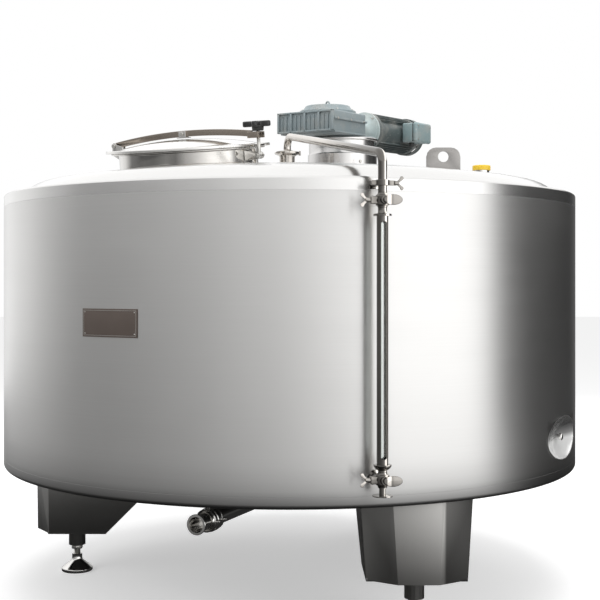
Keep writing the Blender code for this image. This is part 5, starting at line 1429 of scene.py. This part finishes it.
# ---------------------------------------------------------------- level gauge
@dataclass
class Gauge(Assembly):
    """The sight gauge up the front: guard tube, cocks, clamp and the balance line to the head."""

    azimuth: float = math.radians(13.6)
    off: float = 0.070
    guard_r: float = 0.016
    guard_t: float = 0.0015
    guard_low: float = 0.1335
    guard_high: float = 0.8055
    window_w: float = 0.017
    window_land: float = 0.014
    pipe_r: float = 0.0125
    pipe_t: float = 0.0015
    ferrule_r: float = 0.0252
    cock_r: float = 0.019
    cock_h: float = 0.034
    high_z: float = 0.8485
    low_z: float = 0.092
    boss: float = 0.0095
    clamp_z: float = 0.8955
    bend: float = 0.035
    over_x: float = -0.008
    over_rise: float = 0.056
    over_y: float = -0.300
    nozzle_r: float = 0.0255
    nozzle_ferrule_r: float = 0.0388
    stub_way_r: float = 0.0106

    def axis(self) -> Matrix:
        """The gauge's frame at the jacket's bottom edge: local -Y points away from the tank."""
        at = bearing(self.azimuth, Shell.radius + self.off, Shell.base_z)
        return Matrix.Translation(at) @ Matrix.Rotation(self.azimuth, 4, "Z")

    def build(self) -> None:
        """Makes every piece of the gauge."""
        axis = self.axis()
        self._tube(axis)
        self._cock(axis, "upper", self.high_z)
        self._cock(axis, "lower", self.low_z)
        self._line_ends(axis)
        self._clamp(axis)
        self._balance_line()

    def _tube(self, axis: Matrix) -> None:
        """The slotted guard with rounded slot ends, and the glass inside it."""
        r, low, high = self.guard_r, self.guard_low, self.guard_high
        guard = turned(
            "slotted_guard", [(r, high), (r, low), (r - self.guard_t, low), (r - self.guard_t, high)], axis)
        half = self.window_w / 2
        bottom, top = low + self.window_land + half, high - self.window_land - half
        ends = arc((0, top), half, 0, 180, 12) + arc((0, bottom), half, 180, 360, 12)
        slot = slab("slot", ends, 0.06, axis @ spin(90, "X"))
        self.own(smooth(cut(guard, [slot])), "pipe", "guard_tube")
        glass = turned(
            "gauge_glass_tube", [(0.009, high - GAP), (0.009, low + GAP), (0.007, low + GAP),
                (0.007, high - GAP)], axis, ROUND_TINY)
        self.own(glass, "glass", "sight_glass")

    def _cock(self, axis: Matrix, name: str, z: float) -> None:
        """A plug cock's body, boss and side bolt, its wing nut and its paddle."""
        r, p = self.cock_r, self.pipe_r
        barrel = [(0, z + 0.022), (p, z + 0.022), (p, z + 0.020)]
        barrel += arc((r - 0.004, z + 0.011), 0.004, 90, 0, 4) + arc(
            (r - 0.004, z - 0.011), 0.004, 0, -90, 4)
        barrel += [(p, z - 0.020), (p, z - 0.022), (0, z - 0.022)]
        shapes = [turned("barrel", barrel, axis)]
        front = axis @ shift(z=z) @ spin(90, "X")
        shapes.append(
            turned("boss", [(0, r + self.boss), (0.0105, r + self.boss), (0.012, r + self.boss - 0.0015),
                    (0.012, 0), (0, 0)], front))
        left = axis @ shift(z=z) @ spin(-90, "Y")
        shapes.append(
            turned("stud", [(0, r + 0.028), (0.0026, r + 0.028), (0.003, r + 0.0275), (0.003, 0), (0, 0)],
                left, ROUND_TINY))
        shapes.append(
            cube("ear", (-r - 0.016, -0.008, z - 0.011), (-0.010, 0.008, z + 0.011), axis, 0.0025))
        self.join(f"{name}_cock_body", shapes, "pipe", f"{name}_cock")
        at = axis @ shift(-r - 0.016, 0, z) @ spin(-90, "Y")
        self._wing_nut(f"{name}_cock_wing", f"{name}_wing", at)
        at = axis @ shift(0, -r - self.boss - GAP, z) @ spin(90, "X")
        self._paddle(f"{name}_cock_handle", f"{name}_handle", at)

    def _paddle(self, node: str, body: str, at: Matrix) -> None:
        """An oval paddle with rounded edges on its stem."""
        oval = [
            (0.0195 + 0.0265 * math.cos(t), 0.0145 * math.sin(t))
            for t in (2 * math.pi * i / 40 for i in range(40))]
        blade = slab("blade", oval, 0.005, at @ shift(z=0.004), 0.0018)
        stem = turned(
            "stem",
            [(0, 0.0070), (0.0060, 0.0070), (0.0070, 0.0060), (0.0070, 0.0), (0, 0.0)], at, ROUND_TINY)
        neck = cube("neck", (0.0, -0.0055, 0.0018), (0.014, 0.0055, 0.0062), at, 0.0012)
        self.join(f"{node}_piece", [blade, stem, neck], "pipe", node, body=body)

    def _line_ends(self, axis: Matrix) -> None:
        """What joins the cocks to the guard, the drain foot and the take-off through the jacket."""
        p, f = self.pipe_r, self.ferrule_r
        seat = self.guard_high + GAP
        riser = self.high_z + self.cock_h
        nut = self.guard_low - GAP
        foot, d, wide = 0.047, 0.0092, 0.0285
        over, under = self.high_z, self.low_z
        profiles = {
            "upper_ferrule": [
                (0, seat), (f, seat), (f, seat + 0.0045), (f - 0.002, seat + 0.006),
                (p + 0.002, seat + 0.0065), (p, seat + 0.010), (p, over - 0.020), (0, over - 0.020)],
            "upper_riser": [(0, riser - GAP), (p, riser - GAP), (p, over + 0.020), (0, over + 0.020)],
            "lower_bowl": [
                (0, nut), (f - 0.001, nut), (f, nut - 0.001), (f - 0.0004, nut - 0.003),
                (0.92 * f, nut - 0.0065), (0.80 * f, nut - 0.0105), (0.66 * f, nut - 0.0135),
                (p, nut - 0.0155), (p, under + 0.020), (0, under + 0.020)],
            "drain_foot": [
                (0, under - 0.020), (p, under - 0.020), (d, under - 0.0225), (d, foot + 0.003),
                (wide - 0.001, foot + 0.003), (wide, foot + 0.002), (wide, foot + 0.001),
                (wide - 0.001, foot), (0, foot)],
        }
        for name, profile in profiles.items():
            self.own(turned(name, profile, axis), "pipe")
        start = VESSEL_R + GAP
        length = Shell.radius + self.off - self.cock_r - GAP - start
        wall = Shell.radius - start
        stub = [
            (0, length), (0.010, length), (0.010, wall + 0.004), (0.016, wall + 0.0015),
            (0.016, wall + 0.0004), (0.010, wall + 0.0004), (0.010, 0), (0, 0)]
        at = outward(self.azimuth, start, Shell.base_z + self.low_z)
        self.own(turned("take_off", stub, at), "pipe", "gauge_nozzle")

    def _clamp(self, axis: Matrix) -> None:
        """The pipe clamp, its standoff from the rim and its wing nut."""
        p, z, wall = self.pipe_r, self.clamp_z, self.off - 0.0005
        band = [
            (p + 0.006, z + 0.008), (p + 0.007, z + 0.007), (p + 0.007, z - 0.007), (p + 0.006, z - 0.008),
            (p + GAP, z - 0.008), (p + GAP, z + 0.008)]
        shapes = [
            turned("band", band, axis), cube("arm", (-0.006, p + 0.004, z - 0.006),
                (0.006, wall - 0.004, z + 0.006), axis, 0.0012),
            cube("pad", (-0.018, wall - 0.006, z - 0.012), (0.018, wall - 0.0025, z + 0.012), axis, 0.0012),
            cube("right", (p + 0.004, -0.004, z - 0.007), (p + 0.020, 0.004, z + 0.007), axis, 0.0015),
            cube("left", (-p - 0.020, -0.005, z - 0.007), (-p - 0.004, 0.005, z + 0.007), axis, 0.0020),
            rod("screw", 0.003, p + 0.01, p + 0.032, ROUND_TINY, axis @ shift(z=z) @ spin(90, "Y"))]
        self.join("pipe_clamp_body", shapes, "pipe", "pipe_clamp")
        self._wing_nut("clamp_wing", "clamp_wing", axis @ shift(p + 0.020, 0, z) @ spin(90, "Y"))

    def _balance_line(self) -> None:
        """The swept pipe over the rim and its clamped ferrule on the head."""
        seat = head_z(math.hypot(self.over_x, self.over_y)) + 0.038
        foot = bearing(self.azimuth, Shell.radius + self.off, Shell.base_z + self.high_z + self.cock_h)
        corner = Vector((foot.x, foot.y, Shell.rim_z + self.over_rise))
        over = Vector((self.over_x, self.over_y, seat + 0.058))
        end = Vector((self.over_x, self.over_y, seat + 0.012))
        line = pipe("air_line", [foot, corner, over, end], self.pipe_r, self.pipe_t, self.bend)
        self.own(line, "pipe", "balance_pipe")
        at = shift(self.over_x, self.over_y)
        f, n, p = self.nozzle_ferrule_r, self.nozzle_r, self.pipe_r
        nozzle = [
            (f - 0.001, seat), (f, seat - 0.001), (f - 0.0005, seat - 0.004), (n + 0.002, seat - 0.0085),
            (n, seat - 0.013), (n, seat - 0.060), (n - 0.003, seat - 0.060), (n - 0.003, seat)]
        self.own(turned("air_nozzle", nozzle, at), "pipe", "balance_nozzle")
        cone = [
            (p, seat + 0.012 - GAP), (p + 0.003, seat + 0.0095), (p + 0.010, seat + 0.0070),
            (f - 0.0005, seat + 0.0045), (f, seat + 0.0015), (f - 0.001, seat + GAP),
            (p - self.pipe_t, seat + GAP), (p - self.pipe_t, seat + 0.012 - GAP)]
        self.own(turned("air_cone", cone, at), "pipe", "balance_reducer")
        band = [
            (f + 0.0010, seat + 0.0030), (f + 0.0035, seat + 0.0020), (f + 0.0035, seat - 0.0020),
            (f + 0.0010, seat - 0.0030), (f + 0.0002, seat - 0.0010), (f + 0.0002, seat + 0.0010)]
        shapes = [turned("clamp_band", band, at)]
        hinge = at @ shift(f + 0.003, 0, seat)
        shapes.append(rod("clamp_pin", 0.0035, -0.0075, 0.0075, ROUND_TINY, hinge, 0.0006))
        self.join("air_clamp", shapes, "pipe")
        ring = turned(
            "nozzle_weld", [(n + 0.0028, head_z(0.30) + 0.0004), (n, head_z(0.30) + 0.0030),
                (n - 0.001, head_z(0.30) - 0.001)], at, angle=80)
        self.own(ring, "weld")

    def _wing_nut(self, node: str, body: str, at: Matrix) -> None:
        """A wing nut about local Z: a coned hub and two splayed, rounded wings."""
        hub = turned(
            "hub", [(0.0035, 0.0130), (0.0048, 0.0130), (0.0056, 0.0115), (0.0070, 0.0035),
                (0.0070, 0.0012), (0.0062, 0.0010), (0.0035, 0.0010)], at, ROUND_TINY)
        tip = arc((0.0185, 0.0005), 0.0055, -80, 100, 8)
        outline = [(0.0040, -0.0045), (0.012, -0.0030)] + tip + [(0.011, 0.0040), (0.0040, 0.0030)]
        shapes = [hub]
        for side in (0, 180):
            lean = at @ shift(z=0.010) @ spin(side, "Z") @ spin(-40, "Y") @ spin(90, "X")
            shapes.append(slab("wing", outline, 0.0028, lean, 0.0010))
        self.join(f"{node}_nut", shapes, "pipe", node, body=body)


# ---------------------------------------------------------------- fittings
@dataclass
class HeadFittings(Assembly):
    """The lifting lugs and the capped service port."""

    port_x: float = 0.640
    port_y: float = -0.310
    port_r: float = 0.0255
    cap_r: float = 0.030

    def build(self) -> None:
        """Makes the lugs, the port and its ribbed cap."""
        for name in ("lug_front", "lug_rear"):
            self.refine(name, "lug", 0.0014, 3)
            low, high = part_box(name)
            x, y = (low.x + high.x) / 2, (low.y + high.y) / 2
            corners = ((-0.054, -0.006), (0.054, -0.006), (0.054, 0.006), (-0.054, 0.006))
            line = [Vector((x + dx, y + dy, 0)) for dx, dy in corners]
            dense = [a.lerp(b, i / 6) for a, b in zip(line, line[1:] + line[:1]) for i in range(6)]
            for point in dense:
                point.z = head_z(point.xy.length) + 0.0004
            self.own(bead(f"{name}_weld", dense), "weld")
        at = shift(self.port_x, self.port_y)
        seat = head_z(math.hypot(self.port_x, self.port_y) - self.port_r) + 0.024
        r = self.port_r
        port = turned(
            "rinse_port", [(r, seat), (r, seat - 0.055), (r - 0.003, seat - 0.055), (r - 0.003, seat)], at)
        self.own(port, "polish", "service_port")
        c, top, low = self.cap_r, seat + 0.004, seat + 0.004 - 0.017
        profile = [(0, top), (c - 0.008, top), (c - 0.007, top - 0.0008), (c - 0.003, top - 0.0002)]
        profile += arc((c - 0.003, top - 0.003), 0.0028, 90, 0, 4) + [(c - 0.0002, low + 0.001),
            (c - 0.001, low), (r + 0.0005, low)]
        profile += [(r + 0.0005, seat + GAP), (0, seat + GAP)]
        ribs = [turned("cap", profile, at)]
        for i in range(24):
            ribs.append(
                cube("rib", (c - 0.0015, -0.0009, low + 0.002), (c - 0.00005, 0.0009, top - 0.004),
                    at @ spin(15 * i, "Z"), 0.0003, 1))
        self.join("ribbed_cap", ribs, "cap", "port_cap", body="port_cap")


@dataclass
class SideFittings(Assembly):
    """The sample cup, the bare name plate and the two rear unions."""

    cup_azimuth: float = math.radians(60.5)
    cup_z: float = 0.1345
    cup_r: float = 0.0685
    cup_stretch: float = 2.0
    cup_depth: float = 0.0255
    cup_way_r: float = 0.0649
    plate_azimuth: float = math.radians(-31.2)
    plate_z: float = 0.5095
    plate_w: float = 0.202
    plate_h: float = 0.082
    port_azimuth: float = math.radians(12)
    port_way_r: float = 0.0146
    inlet_z: float = 0.2685
    outlet_z: float = 0.5685

    def build(self) -> None:
        """Makes the cup, the plate and the unions."""
        self.refine("sample_cup", "cup", 0.0008)
        at = outward(self.cup_azimuth, Shell.radius, Shell.base_z + self.cup_z)
        knob = turned(
            "cup_stud", [(0, -0.0022), (0.008, -0.0030), (0.0112, -0.0060), (0.0112, -0.0120),
                (0, -0.0120)], at)
        self.own(knob, "polish")
        back = self.cup_r - 0.008
        run = math.hypot(self.cup_stretch * back, self.cup_depth)
        slope = math.degrees(math.atan2(self.cup_depth - 0.004, self.cup_stretch * back))
        rib = cube(
            "cup_rib", (-0.90 * run, -0.0009, -0.0012), (-0.010, 0.0009, 0.0012),
            at @ shift(z=0.001 - self.cup_depth) @ spin(slope, "Y"), 0.0004, 1)
        self.own(rib, "polish")
        self._plate()
        for name in ("coolant_inlet", "coolant_outlet"):
            self.refine(name, "brass", 0.0008)

    def _plate(self) -> None:
        """The curved bare plate with a raised thin frame and four rivets."""
        half = math.degrees(self.plate_w / 2 / Shell.radius)
        face = math.degrees(self.plate_azimuth) - 90
        middle = Shell.base_z + self.plate_z
        near, far = Shell.radius + 0.0008, Shell.radius + 0.0023
        band = arc((0, 0), far, face - half, face + half, 24) + arc(
            (0, 0), near, face + half, face - half, 24)
        self.own(slab("plate_sheet", band, self.plate_h, shift(z=middle), 0.0006), "plate", "name_plate")
        lines = []
        inset, thick = 0.005, 0.0009
        arc_half = half - math.degrees(inset)
        for z in (-1, 1):
            strip = arc((0, 0), far + 0.00035, face - arc_half, face + arc_half, 24)
            strip += arc((0, 0), far - 0.0003, face + arc_half, face - arc_half, 24)
            lines.append(slab("strip", strip, thick, shift(z=middle + z * (self.plate_h / 2 - inset))))
        for side in (-1, 1):
            azimuth = self.plate_azimuth + side * (self.plate_w / 2 - inset)
            at = outward(azimuth, far, middle)
            lines.append(
                cube("post", (-thick / 2, -self.plate_h / 2 + inset, -0.0003),
                    (thick / 2, self.plate_h / 2 - inset, 0.00035), at))
        self.join("plate_border", lines, "screw", slot="plate_bronze")
        for i in range(4):
            azimuth = self.plate_azimuth + (self.plate_w / 2 - 0.010) * (1 if i % 2 else -1)
            at = outward(azimuth, far, middle + (self.plate_h / 2 - 0.010) * (1 if i // 2 else -1))
            rivet = turned(
                f"plate_rivet_{i}", [(0, 0.0009), (0.0012, 0.0007), (0.0020, 0.0), (0.0020, -0.0004),
                    (0, -0.0004)], at, ROUND_TINY)
            self.own(rivet, "screw", slot="plate_bronze")


@dataclass
class Legs(Assembly):
    """Three folded legs and their levelling feet."""

    foot_r: float = 0.055
    spindle_r: float = 0.012
    top_z: float = 0.165
    pitch: float = 0.003
    nut_r: float = 0.021
    nut_low: float = 0.080
    nut_high: float = 0.0915

    def build(self) -> None:
        """Makes the legs, their nuts and the feet."""
        for name in ("front", "left", "rear"):
            node = f"leg_{name}"
            self.refine(node, "leg", 0.0022, 3, 20)
            low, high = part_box(f"foot_{name}")
            at = shift((low.x + high.x) / 2, (low.y + high.y) / 2)
            r, s = self.foot_r, self.spindle_r
            pad = [(0, 0.062), (0.018, 0.062), (0.018, 0.046), (0.020, 0.040), (r - 0.012, 0.022)]
            pad += arc((r - 0.004, 0.010), 0.004, 70, 0, 4) + [(r, 0.003), (r - 0.003, 0.0), (0, 0.0)]
            self.own(turned(f"foot_{name}_pad", pad, at), "polish", f"foot_{name}", body=f"foot_{name}")
            count = int((self.top_z - 0.064) / self.pitch)
            thread = [(s - 0.003, 0.060)] + [
                (s if i % 2 else s - 0.0012, 0.062 + self.pitch * i / 2) for i in range(2 * count)]
            thread += [(s - 0.003, thread[-1][1])]
            self.own(
                turned(f"foot_{name}_screw", thread, at, ROUND_TINY, angle=50), "screw",
                body=f"foot_{name}")
            nut = rod(f"foot_{name}_nut", self.nut_r, self.nut_low, self.nut_high, 6, at, 0.0012)
            self.own(nut, "screw", body=f"foot_{name}")


@dataclass
class Outlet(Assembly):
    """The outlet under the tank: swept pipe, butterfly valve and hose tail."""

    azimuth: float = math.radians(-23.5)
    r: float = 0.0255
    wall: float = 0.0016
    z: float = 0.300
    run: float = 0.600
    bend: float = 0.076
    ferrule_r: float = 0.032
    valve_r: float = 0.038
    valve_len: float = 0.044
    tail_len: float = 0.070

    def build(self) -> None:
        """Makes the pipe, valve, lever and tail."""
        way = bearing(self.azimuth, 1, 0)
        top, corner = Vector((0, 0, Vessel.low_z - Vessel.fall)), Vector((0, 0, self.z))
        run = pipe("outlet_run", [top, corner, corner + way * self.run], self.r, self.wall, self.bend)
        self.own(run, "polish", "outlet_pipe")
        at = outward(self.azimuth, self.run, self.z)
        bore, f = self.r - self.wall + GAP, self.ferrule_r
        inner = [
            (bore, 0.0), (f, 0.0), (f, -0.004), (f - 0.004, -0.0065),
            (self.r + 0.0002, -0.010), (bore, -0.010)]
        self.own(turned("outlet_collar", inner, at), "polish")
        v, n = self.valve_r, self.valve_len
        body = [(bore, n - GAP), (f, n - GAP), (f, n - 0.008), (v - 0.003, n - 0.010)]
        body += arc((v - 0.003, n - 0.013), 0.003, 90, 0, 3) + arc((v - 0.003, 0.013), 0.003, 0, -90, 3)
        body += [(f, 0.008), (f, GAP), (bore, GAP)]
        barrel = turned("valve_body", body, at)
        lean = Matrix.Rotation(self.azimuth, 4, "Z")
        middle = Matrix.Translation(corner + way * (self.run + n / 2)) @ lean
        cut(barrel, [rod("stem_way", 0.0065, 0.0, 0.1, ROUND_TINY, middle)])
        self.own(smooth(barrel), "polish", "outlet_valve")
        gland = turned(
            "stem_boss", [(0.0065, v + 0.010), (0.011, v + 0.010), (0.012, v + 0.009), (0.012, v - 0.006),
                (0.0065, v - 0.006)], middle)
        self.own(gland, "polish")
        spots = [at @ spin(45 + 90 * i, "Z") @ shift(v - 0.0045, 0, n - 0.0100) for i in range(4)]
        self.bolts("valve_bolt", 0.0036, 0.0032, spots)
        self.refine("valve_disc", "polish", 0.0008, body="outlet_disc")
        self.refine("valve_lever", "lever", 0.0022, 3, body="outlet_disc")
        grip = cube(
            "lever_grip", (0.040, -0.0125, v + 0.0145), (0.128, 0.0125, v + 0.0235), middle, 0.0040, 4)
        self.own(grip, "lever", body="outlet_disc")
        end = at @ shift(z=n)
        t = self.tail_len
        tail = [
            (bore, t), (f - 0.001, t), (f, t - 0.001), (f, t - 0.004), (f - 0.003, t - 0.0065),
            (self.r + 0.001, t - 0.009), (self.r, t - 0.013), (self.r, 0.013), (self.r + 0.001, 0.009),
            (f - 0.003, 0.0065), (f, 0.004), (f, GAP), (bore, GAP)]
        self.own(turned("hose_tail", tail, end), "polish", "outlet_tail")
        self._clamp(at, "inner")
        self._clamp(end, "outer")

    def _clamp(self, at: Matrix, name: str) -> None:
        """A hinged band over a pair of ferrules."""
        f = self.ferrule_r
        band = [
            (f + 0.0010, 0.0075), (f + 0.0040, 0.0060), (f + 0.0040, -0.0060), (f + 0.0010, -0.0075),
            (f + 0.0003, -0.0030), (f + 0.0003, 0.0030)]
        shapes = [turned("band", band, at)]
        for side in (-1, 1):
            shapes.append(
                rod("pin", 0.0038, -0.0075, 0.0075, ROUND_TINY, at @ shift(side * (f + 0.0055)), 0.0006))
        shapes.append(cube("lug", (f + 0.002, -0.004, -0.005), (f + 0.016, 0.004, 0.005), at, 0.0012))
        self.join(f"{name}_band", shapes, "polish")


# ---------------------------------------------------------------- studio
# what reflections see: degrees from the front towards +X, and how bright it is there
WALL_GLOW = (
    (-180, 0.60), (-135, 1.18), (-113, 1.06), (-92, 0.66), (-80, 0.44), (-66, 0.42), (-50, 0.50),
    (-38, 0.60), (-28, 0.68), (-17, 0.84), (-6, 0.95), (4, 1.15), (14, 1.42), (22, 1.55), (34, 1.95),
    (68, 1.95), (73, 1.55), (79, 0.60), (84, 0.20), (95, 0.08), (136, 0.04), (165, 0.25), (180, 0.60))
GROUND_GLOW = (
    (-180, 0.30), (-80, 0.26), (-30, 0.36), (0, 0.55), (15, 0.75), (34, 1.45), (62, 1.45), (72, 0.90),
    (80, 0.25), (95, 0.06), (136, 0.05), (180, 0.30))


@dataclass
class Studio:
    """Camera, lamps, floor and the reflecting walls round the tank."""

    camera_y: float = -4.18
    camera_z: float = 1.04
    lens: float = 69.6
    shift_x: float = 0.01733
    shift_y: float = -0.03083
    wall_r: float = 7.0
    wall_h: float = 3.4
    ground_z: float = 0.0005

    def build(self) -> None:
        """Makes the whole studio."""
        self._camera()
        self._lamps()
        self._world()
        self._floor()
        self._wall()

    def _camera(self) -> None:
        """A level camera in front of the tank."""
        bpy.ops.object.camera_add(location=(0, self.camera_y, self.camera_z), rotation=(math.pi / 2, 0, 0))
        camera = bpy.context.active_object
        camera.data.lens = self.lens
        camera.data.sensor_width = 36.0
        camera.data.shift_x = self.shift_x
        camera.data.shift_y = self.shift_y
        camera.data.clip_end = 100
        bpy.context.scene.camera = camera
        bpy.context.scene.view_settings.view_transform = "Standard"

    def _lamps(self) -> None:
        """Soft boxes above, behind and to both sides, which don't show in reflections."""
        lamps = (
            ("top_box", (0.0, -0.6, 4.6), 4.0, 150), ("left_box", (-4.2, -3.6, 2.8), 2.6, 70),
            ("right_box", (4.4, -2.8, 2.6), 2.6, 85), ("rear_box", (0.5, 5.2, 3.4), 3.0, 60))
        for name, place, size, power in lamps:
            bpy.ops.object.light_add(type="AREA", location=place)
            lamp = bpy.context.active_object
            lamp.name = name
            lamp.data.shape = "SQUARE"
            lamp.data.size = size
            lamp.data.energy = power
            lamp.rotation_euler = (Vector(place) - Vector((0, 0, 0.9))).to_track_quat("Z", "Y").to_euler()
            lamp.visible_glossy = False

    def _world(self) -> None:
        """White to the camera, to reflections and through glass, soft grey light elsewhere."""
        world = bpy.data.worlds.new("studio_world")
        bpy.context.scene.world = world
        world.use_nodes = True
        tree = world.node_tree
        background = tree.nodes["Background"]
        path = tree.nodes.new("ShaderNodeLightPath")
        seen = path.outputs["Is Camera Ray"]
        for ray in ("Is Glossy Ray", "Is Transmission Ray"):
            either = tree.nodes.new("ShaderNodeMath")
            either.operation = "MAXIMUM"
            tree.links.new(seen, either.inputs[0])
            tree.links.new(path.outputs[ray], either.inputs[1])
            seen = either.outputs[0]
        strength = tree.nodes.new("ShaderNodeMapRange")
        strength.inputs["To Min"].default_value = 0.55
        tree.links.new(seen, strength.inputs["Value"])
        tree.links.new(strength.outputs[0], background.inputs["Strength"])
        background.inputs["Color"].default_value = (1, 1, 1, 1)

    def _floor(self) -> None:
        """A pale floor that keeps the tank's shadow, white where the lamps reach it."""
        bpy.ops.mesh.primitive_plane_add(size=60, location=(0, 0, 0))
        floor = named("studio_floor")
        graph = Graph("pale_floor")
        path = graph.tree.nodes.new("ShaderNodeLightPath")
        camera = Field(graph, path.outputs["Is Camera Ray"])
        graph.shade(
            base_color=(0.86, 0.86, 0.86), roughness=0.9, specular_ior_level=0.0,
            emission_color=graph.tint(camera, (0.0, 0.0, 0.0), (1.0, 1.0, 1.0)), emission_strength=0.42)
        floor.data.materials.append(graph.material)
        floor.visible_glossy = False
        floor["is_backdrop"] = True

    def _wall(self) -> None:
        """A round wall, a ceiling and a floor that only reflections see, bright and dark by bearing."""
        bpy.ops.mesh.primitive_cylinder_add(
            vertices=96, radius=self.wall_r, depth=self.wall_h, end_fill_type="NOTHING",
            location=(0, 0, self.wall_h / 2))
        wall = named("studio_wall")
        wall.data.materials.append(self._glow("wall_glow", WALL_GLOW))
        cards = [wall]
        discs = (
            ("ceiling", self.wall_h, ((-180, 1.35), (180, 1.35)), None),
            ("ground", self.ground_z, GROUND_GLOW, (1.0, 3.0)))
        for name, z, stops, shade in discs:
            bpy.ops.mesh.primitive_circle_add(
                vertices=64, radius=self.wall_r, fill_type="NGON", location=(0, 0, z))
            cards.append(named(f"studio_{name}"))
            cards[-1].data.materials.append(self._glow(f"{name}_glow", stops, shade))
        for card in cards:
            for ray in ("camera", "diffuse", "transmission", "shadow"):
                setattr(card, f"visible_{ray}", False)
            card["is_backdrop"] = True

    @staticmethod
    def _glow(name: str, stops: Sequence[tuple[float, float]],
            shade: tuple[float, float] | None = None) -> bpy.types.Material:
        """An emitter whose strength goes by bearing, darker inside the radii of shade."""
        graph = Graph(name)
        split = graph.tree.nodes.new("ShaderNodeSeparateXYZ")
        graph.tree.links.new(graph.place().socket, split.inputs[0])
        x, y = Field(graph, split.outputs[0]), Field(graph, split.outputs[1])
        turn = graph.node("ShaderNodeMath", {"operation": "ARCTAN2"}, {0: x, 1: y * -1.0})
        share = turn * (1 / (2 * math.pi)) + 0.5
        strongest = max(level for _, level in stops)
        places = [(0.5 + angle / 360, level / strongest) for angle, level in stops]
        level = graph.node("ShaderNodeValToRGB", {"stops": places}, {0: share})
        if shade:
            away = graph.node("ShaderNodeVectorMath", {"operation": "LENGTH"}, {0: graph.place()}, 1)
            level = graph.tint(away.above(*shade), (0.02, 0.02, 0.02), level)
        glow = graph.node("ShaderNodeEmission", None, {"Color": level, "Strength": strongest})
        output = graph.tree.nodes["Material Output"]
        graph.tree.links.new(glow.socket, output.inputs["Surface"])
        return graph.material


# ---------------------------------------------------------------- the whole tank
def main() -> None:
    """Builds the tank around its frame and the studio round it."""
    logging.basicConfig(level=logging.INFO, format="%(name)s %(message)s")
    frame, finishes = Frame(), made_finishes()
    manway, drive = Manway(frame, finishes), Drive(frame, finishes)
    Studio().build()
    Shell(frame, finishes).build()
    Vessel(frame, finishes).build(manway.seat(), drive.base())
    manway.build()
    drive.build()
    for assembly in (Gauge, HeadFittings, SideFittings, Legs, Outlet):
        assembly(frame, finishes).build()


if __name__ == "__main__":
    main()
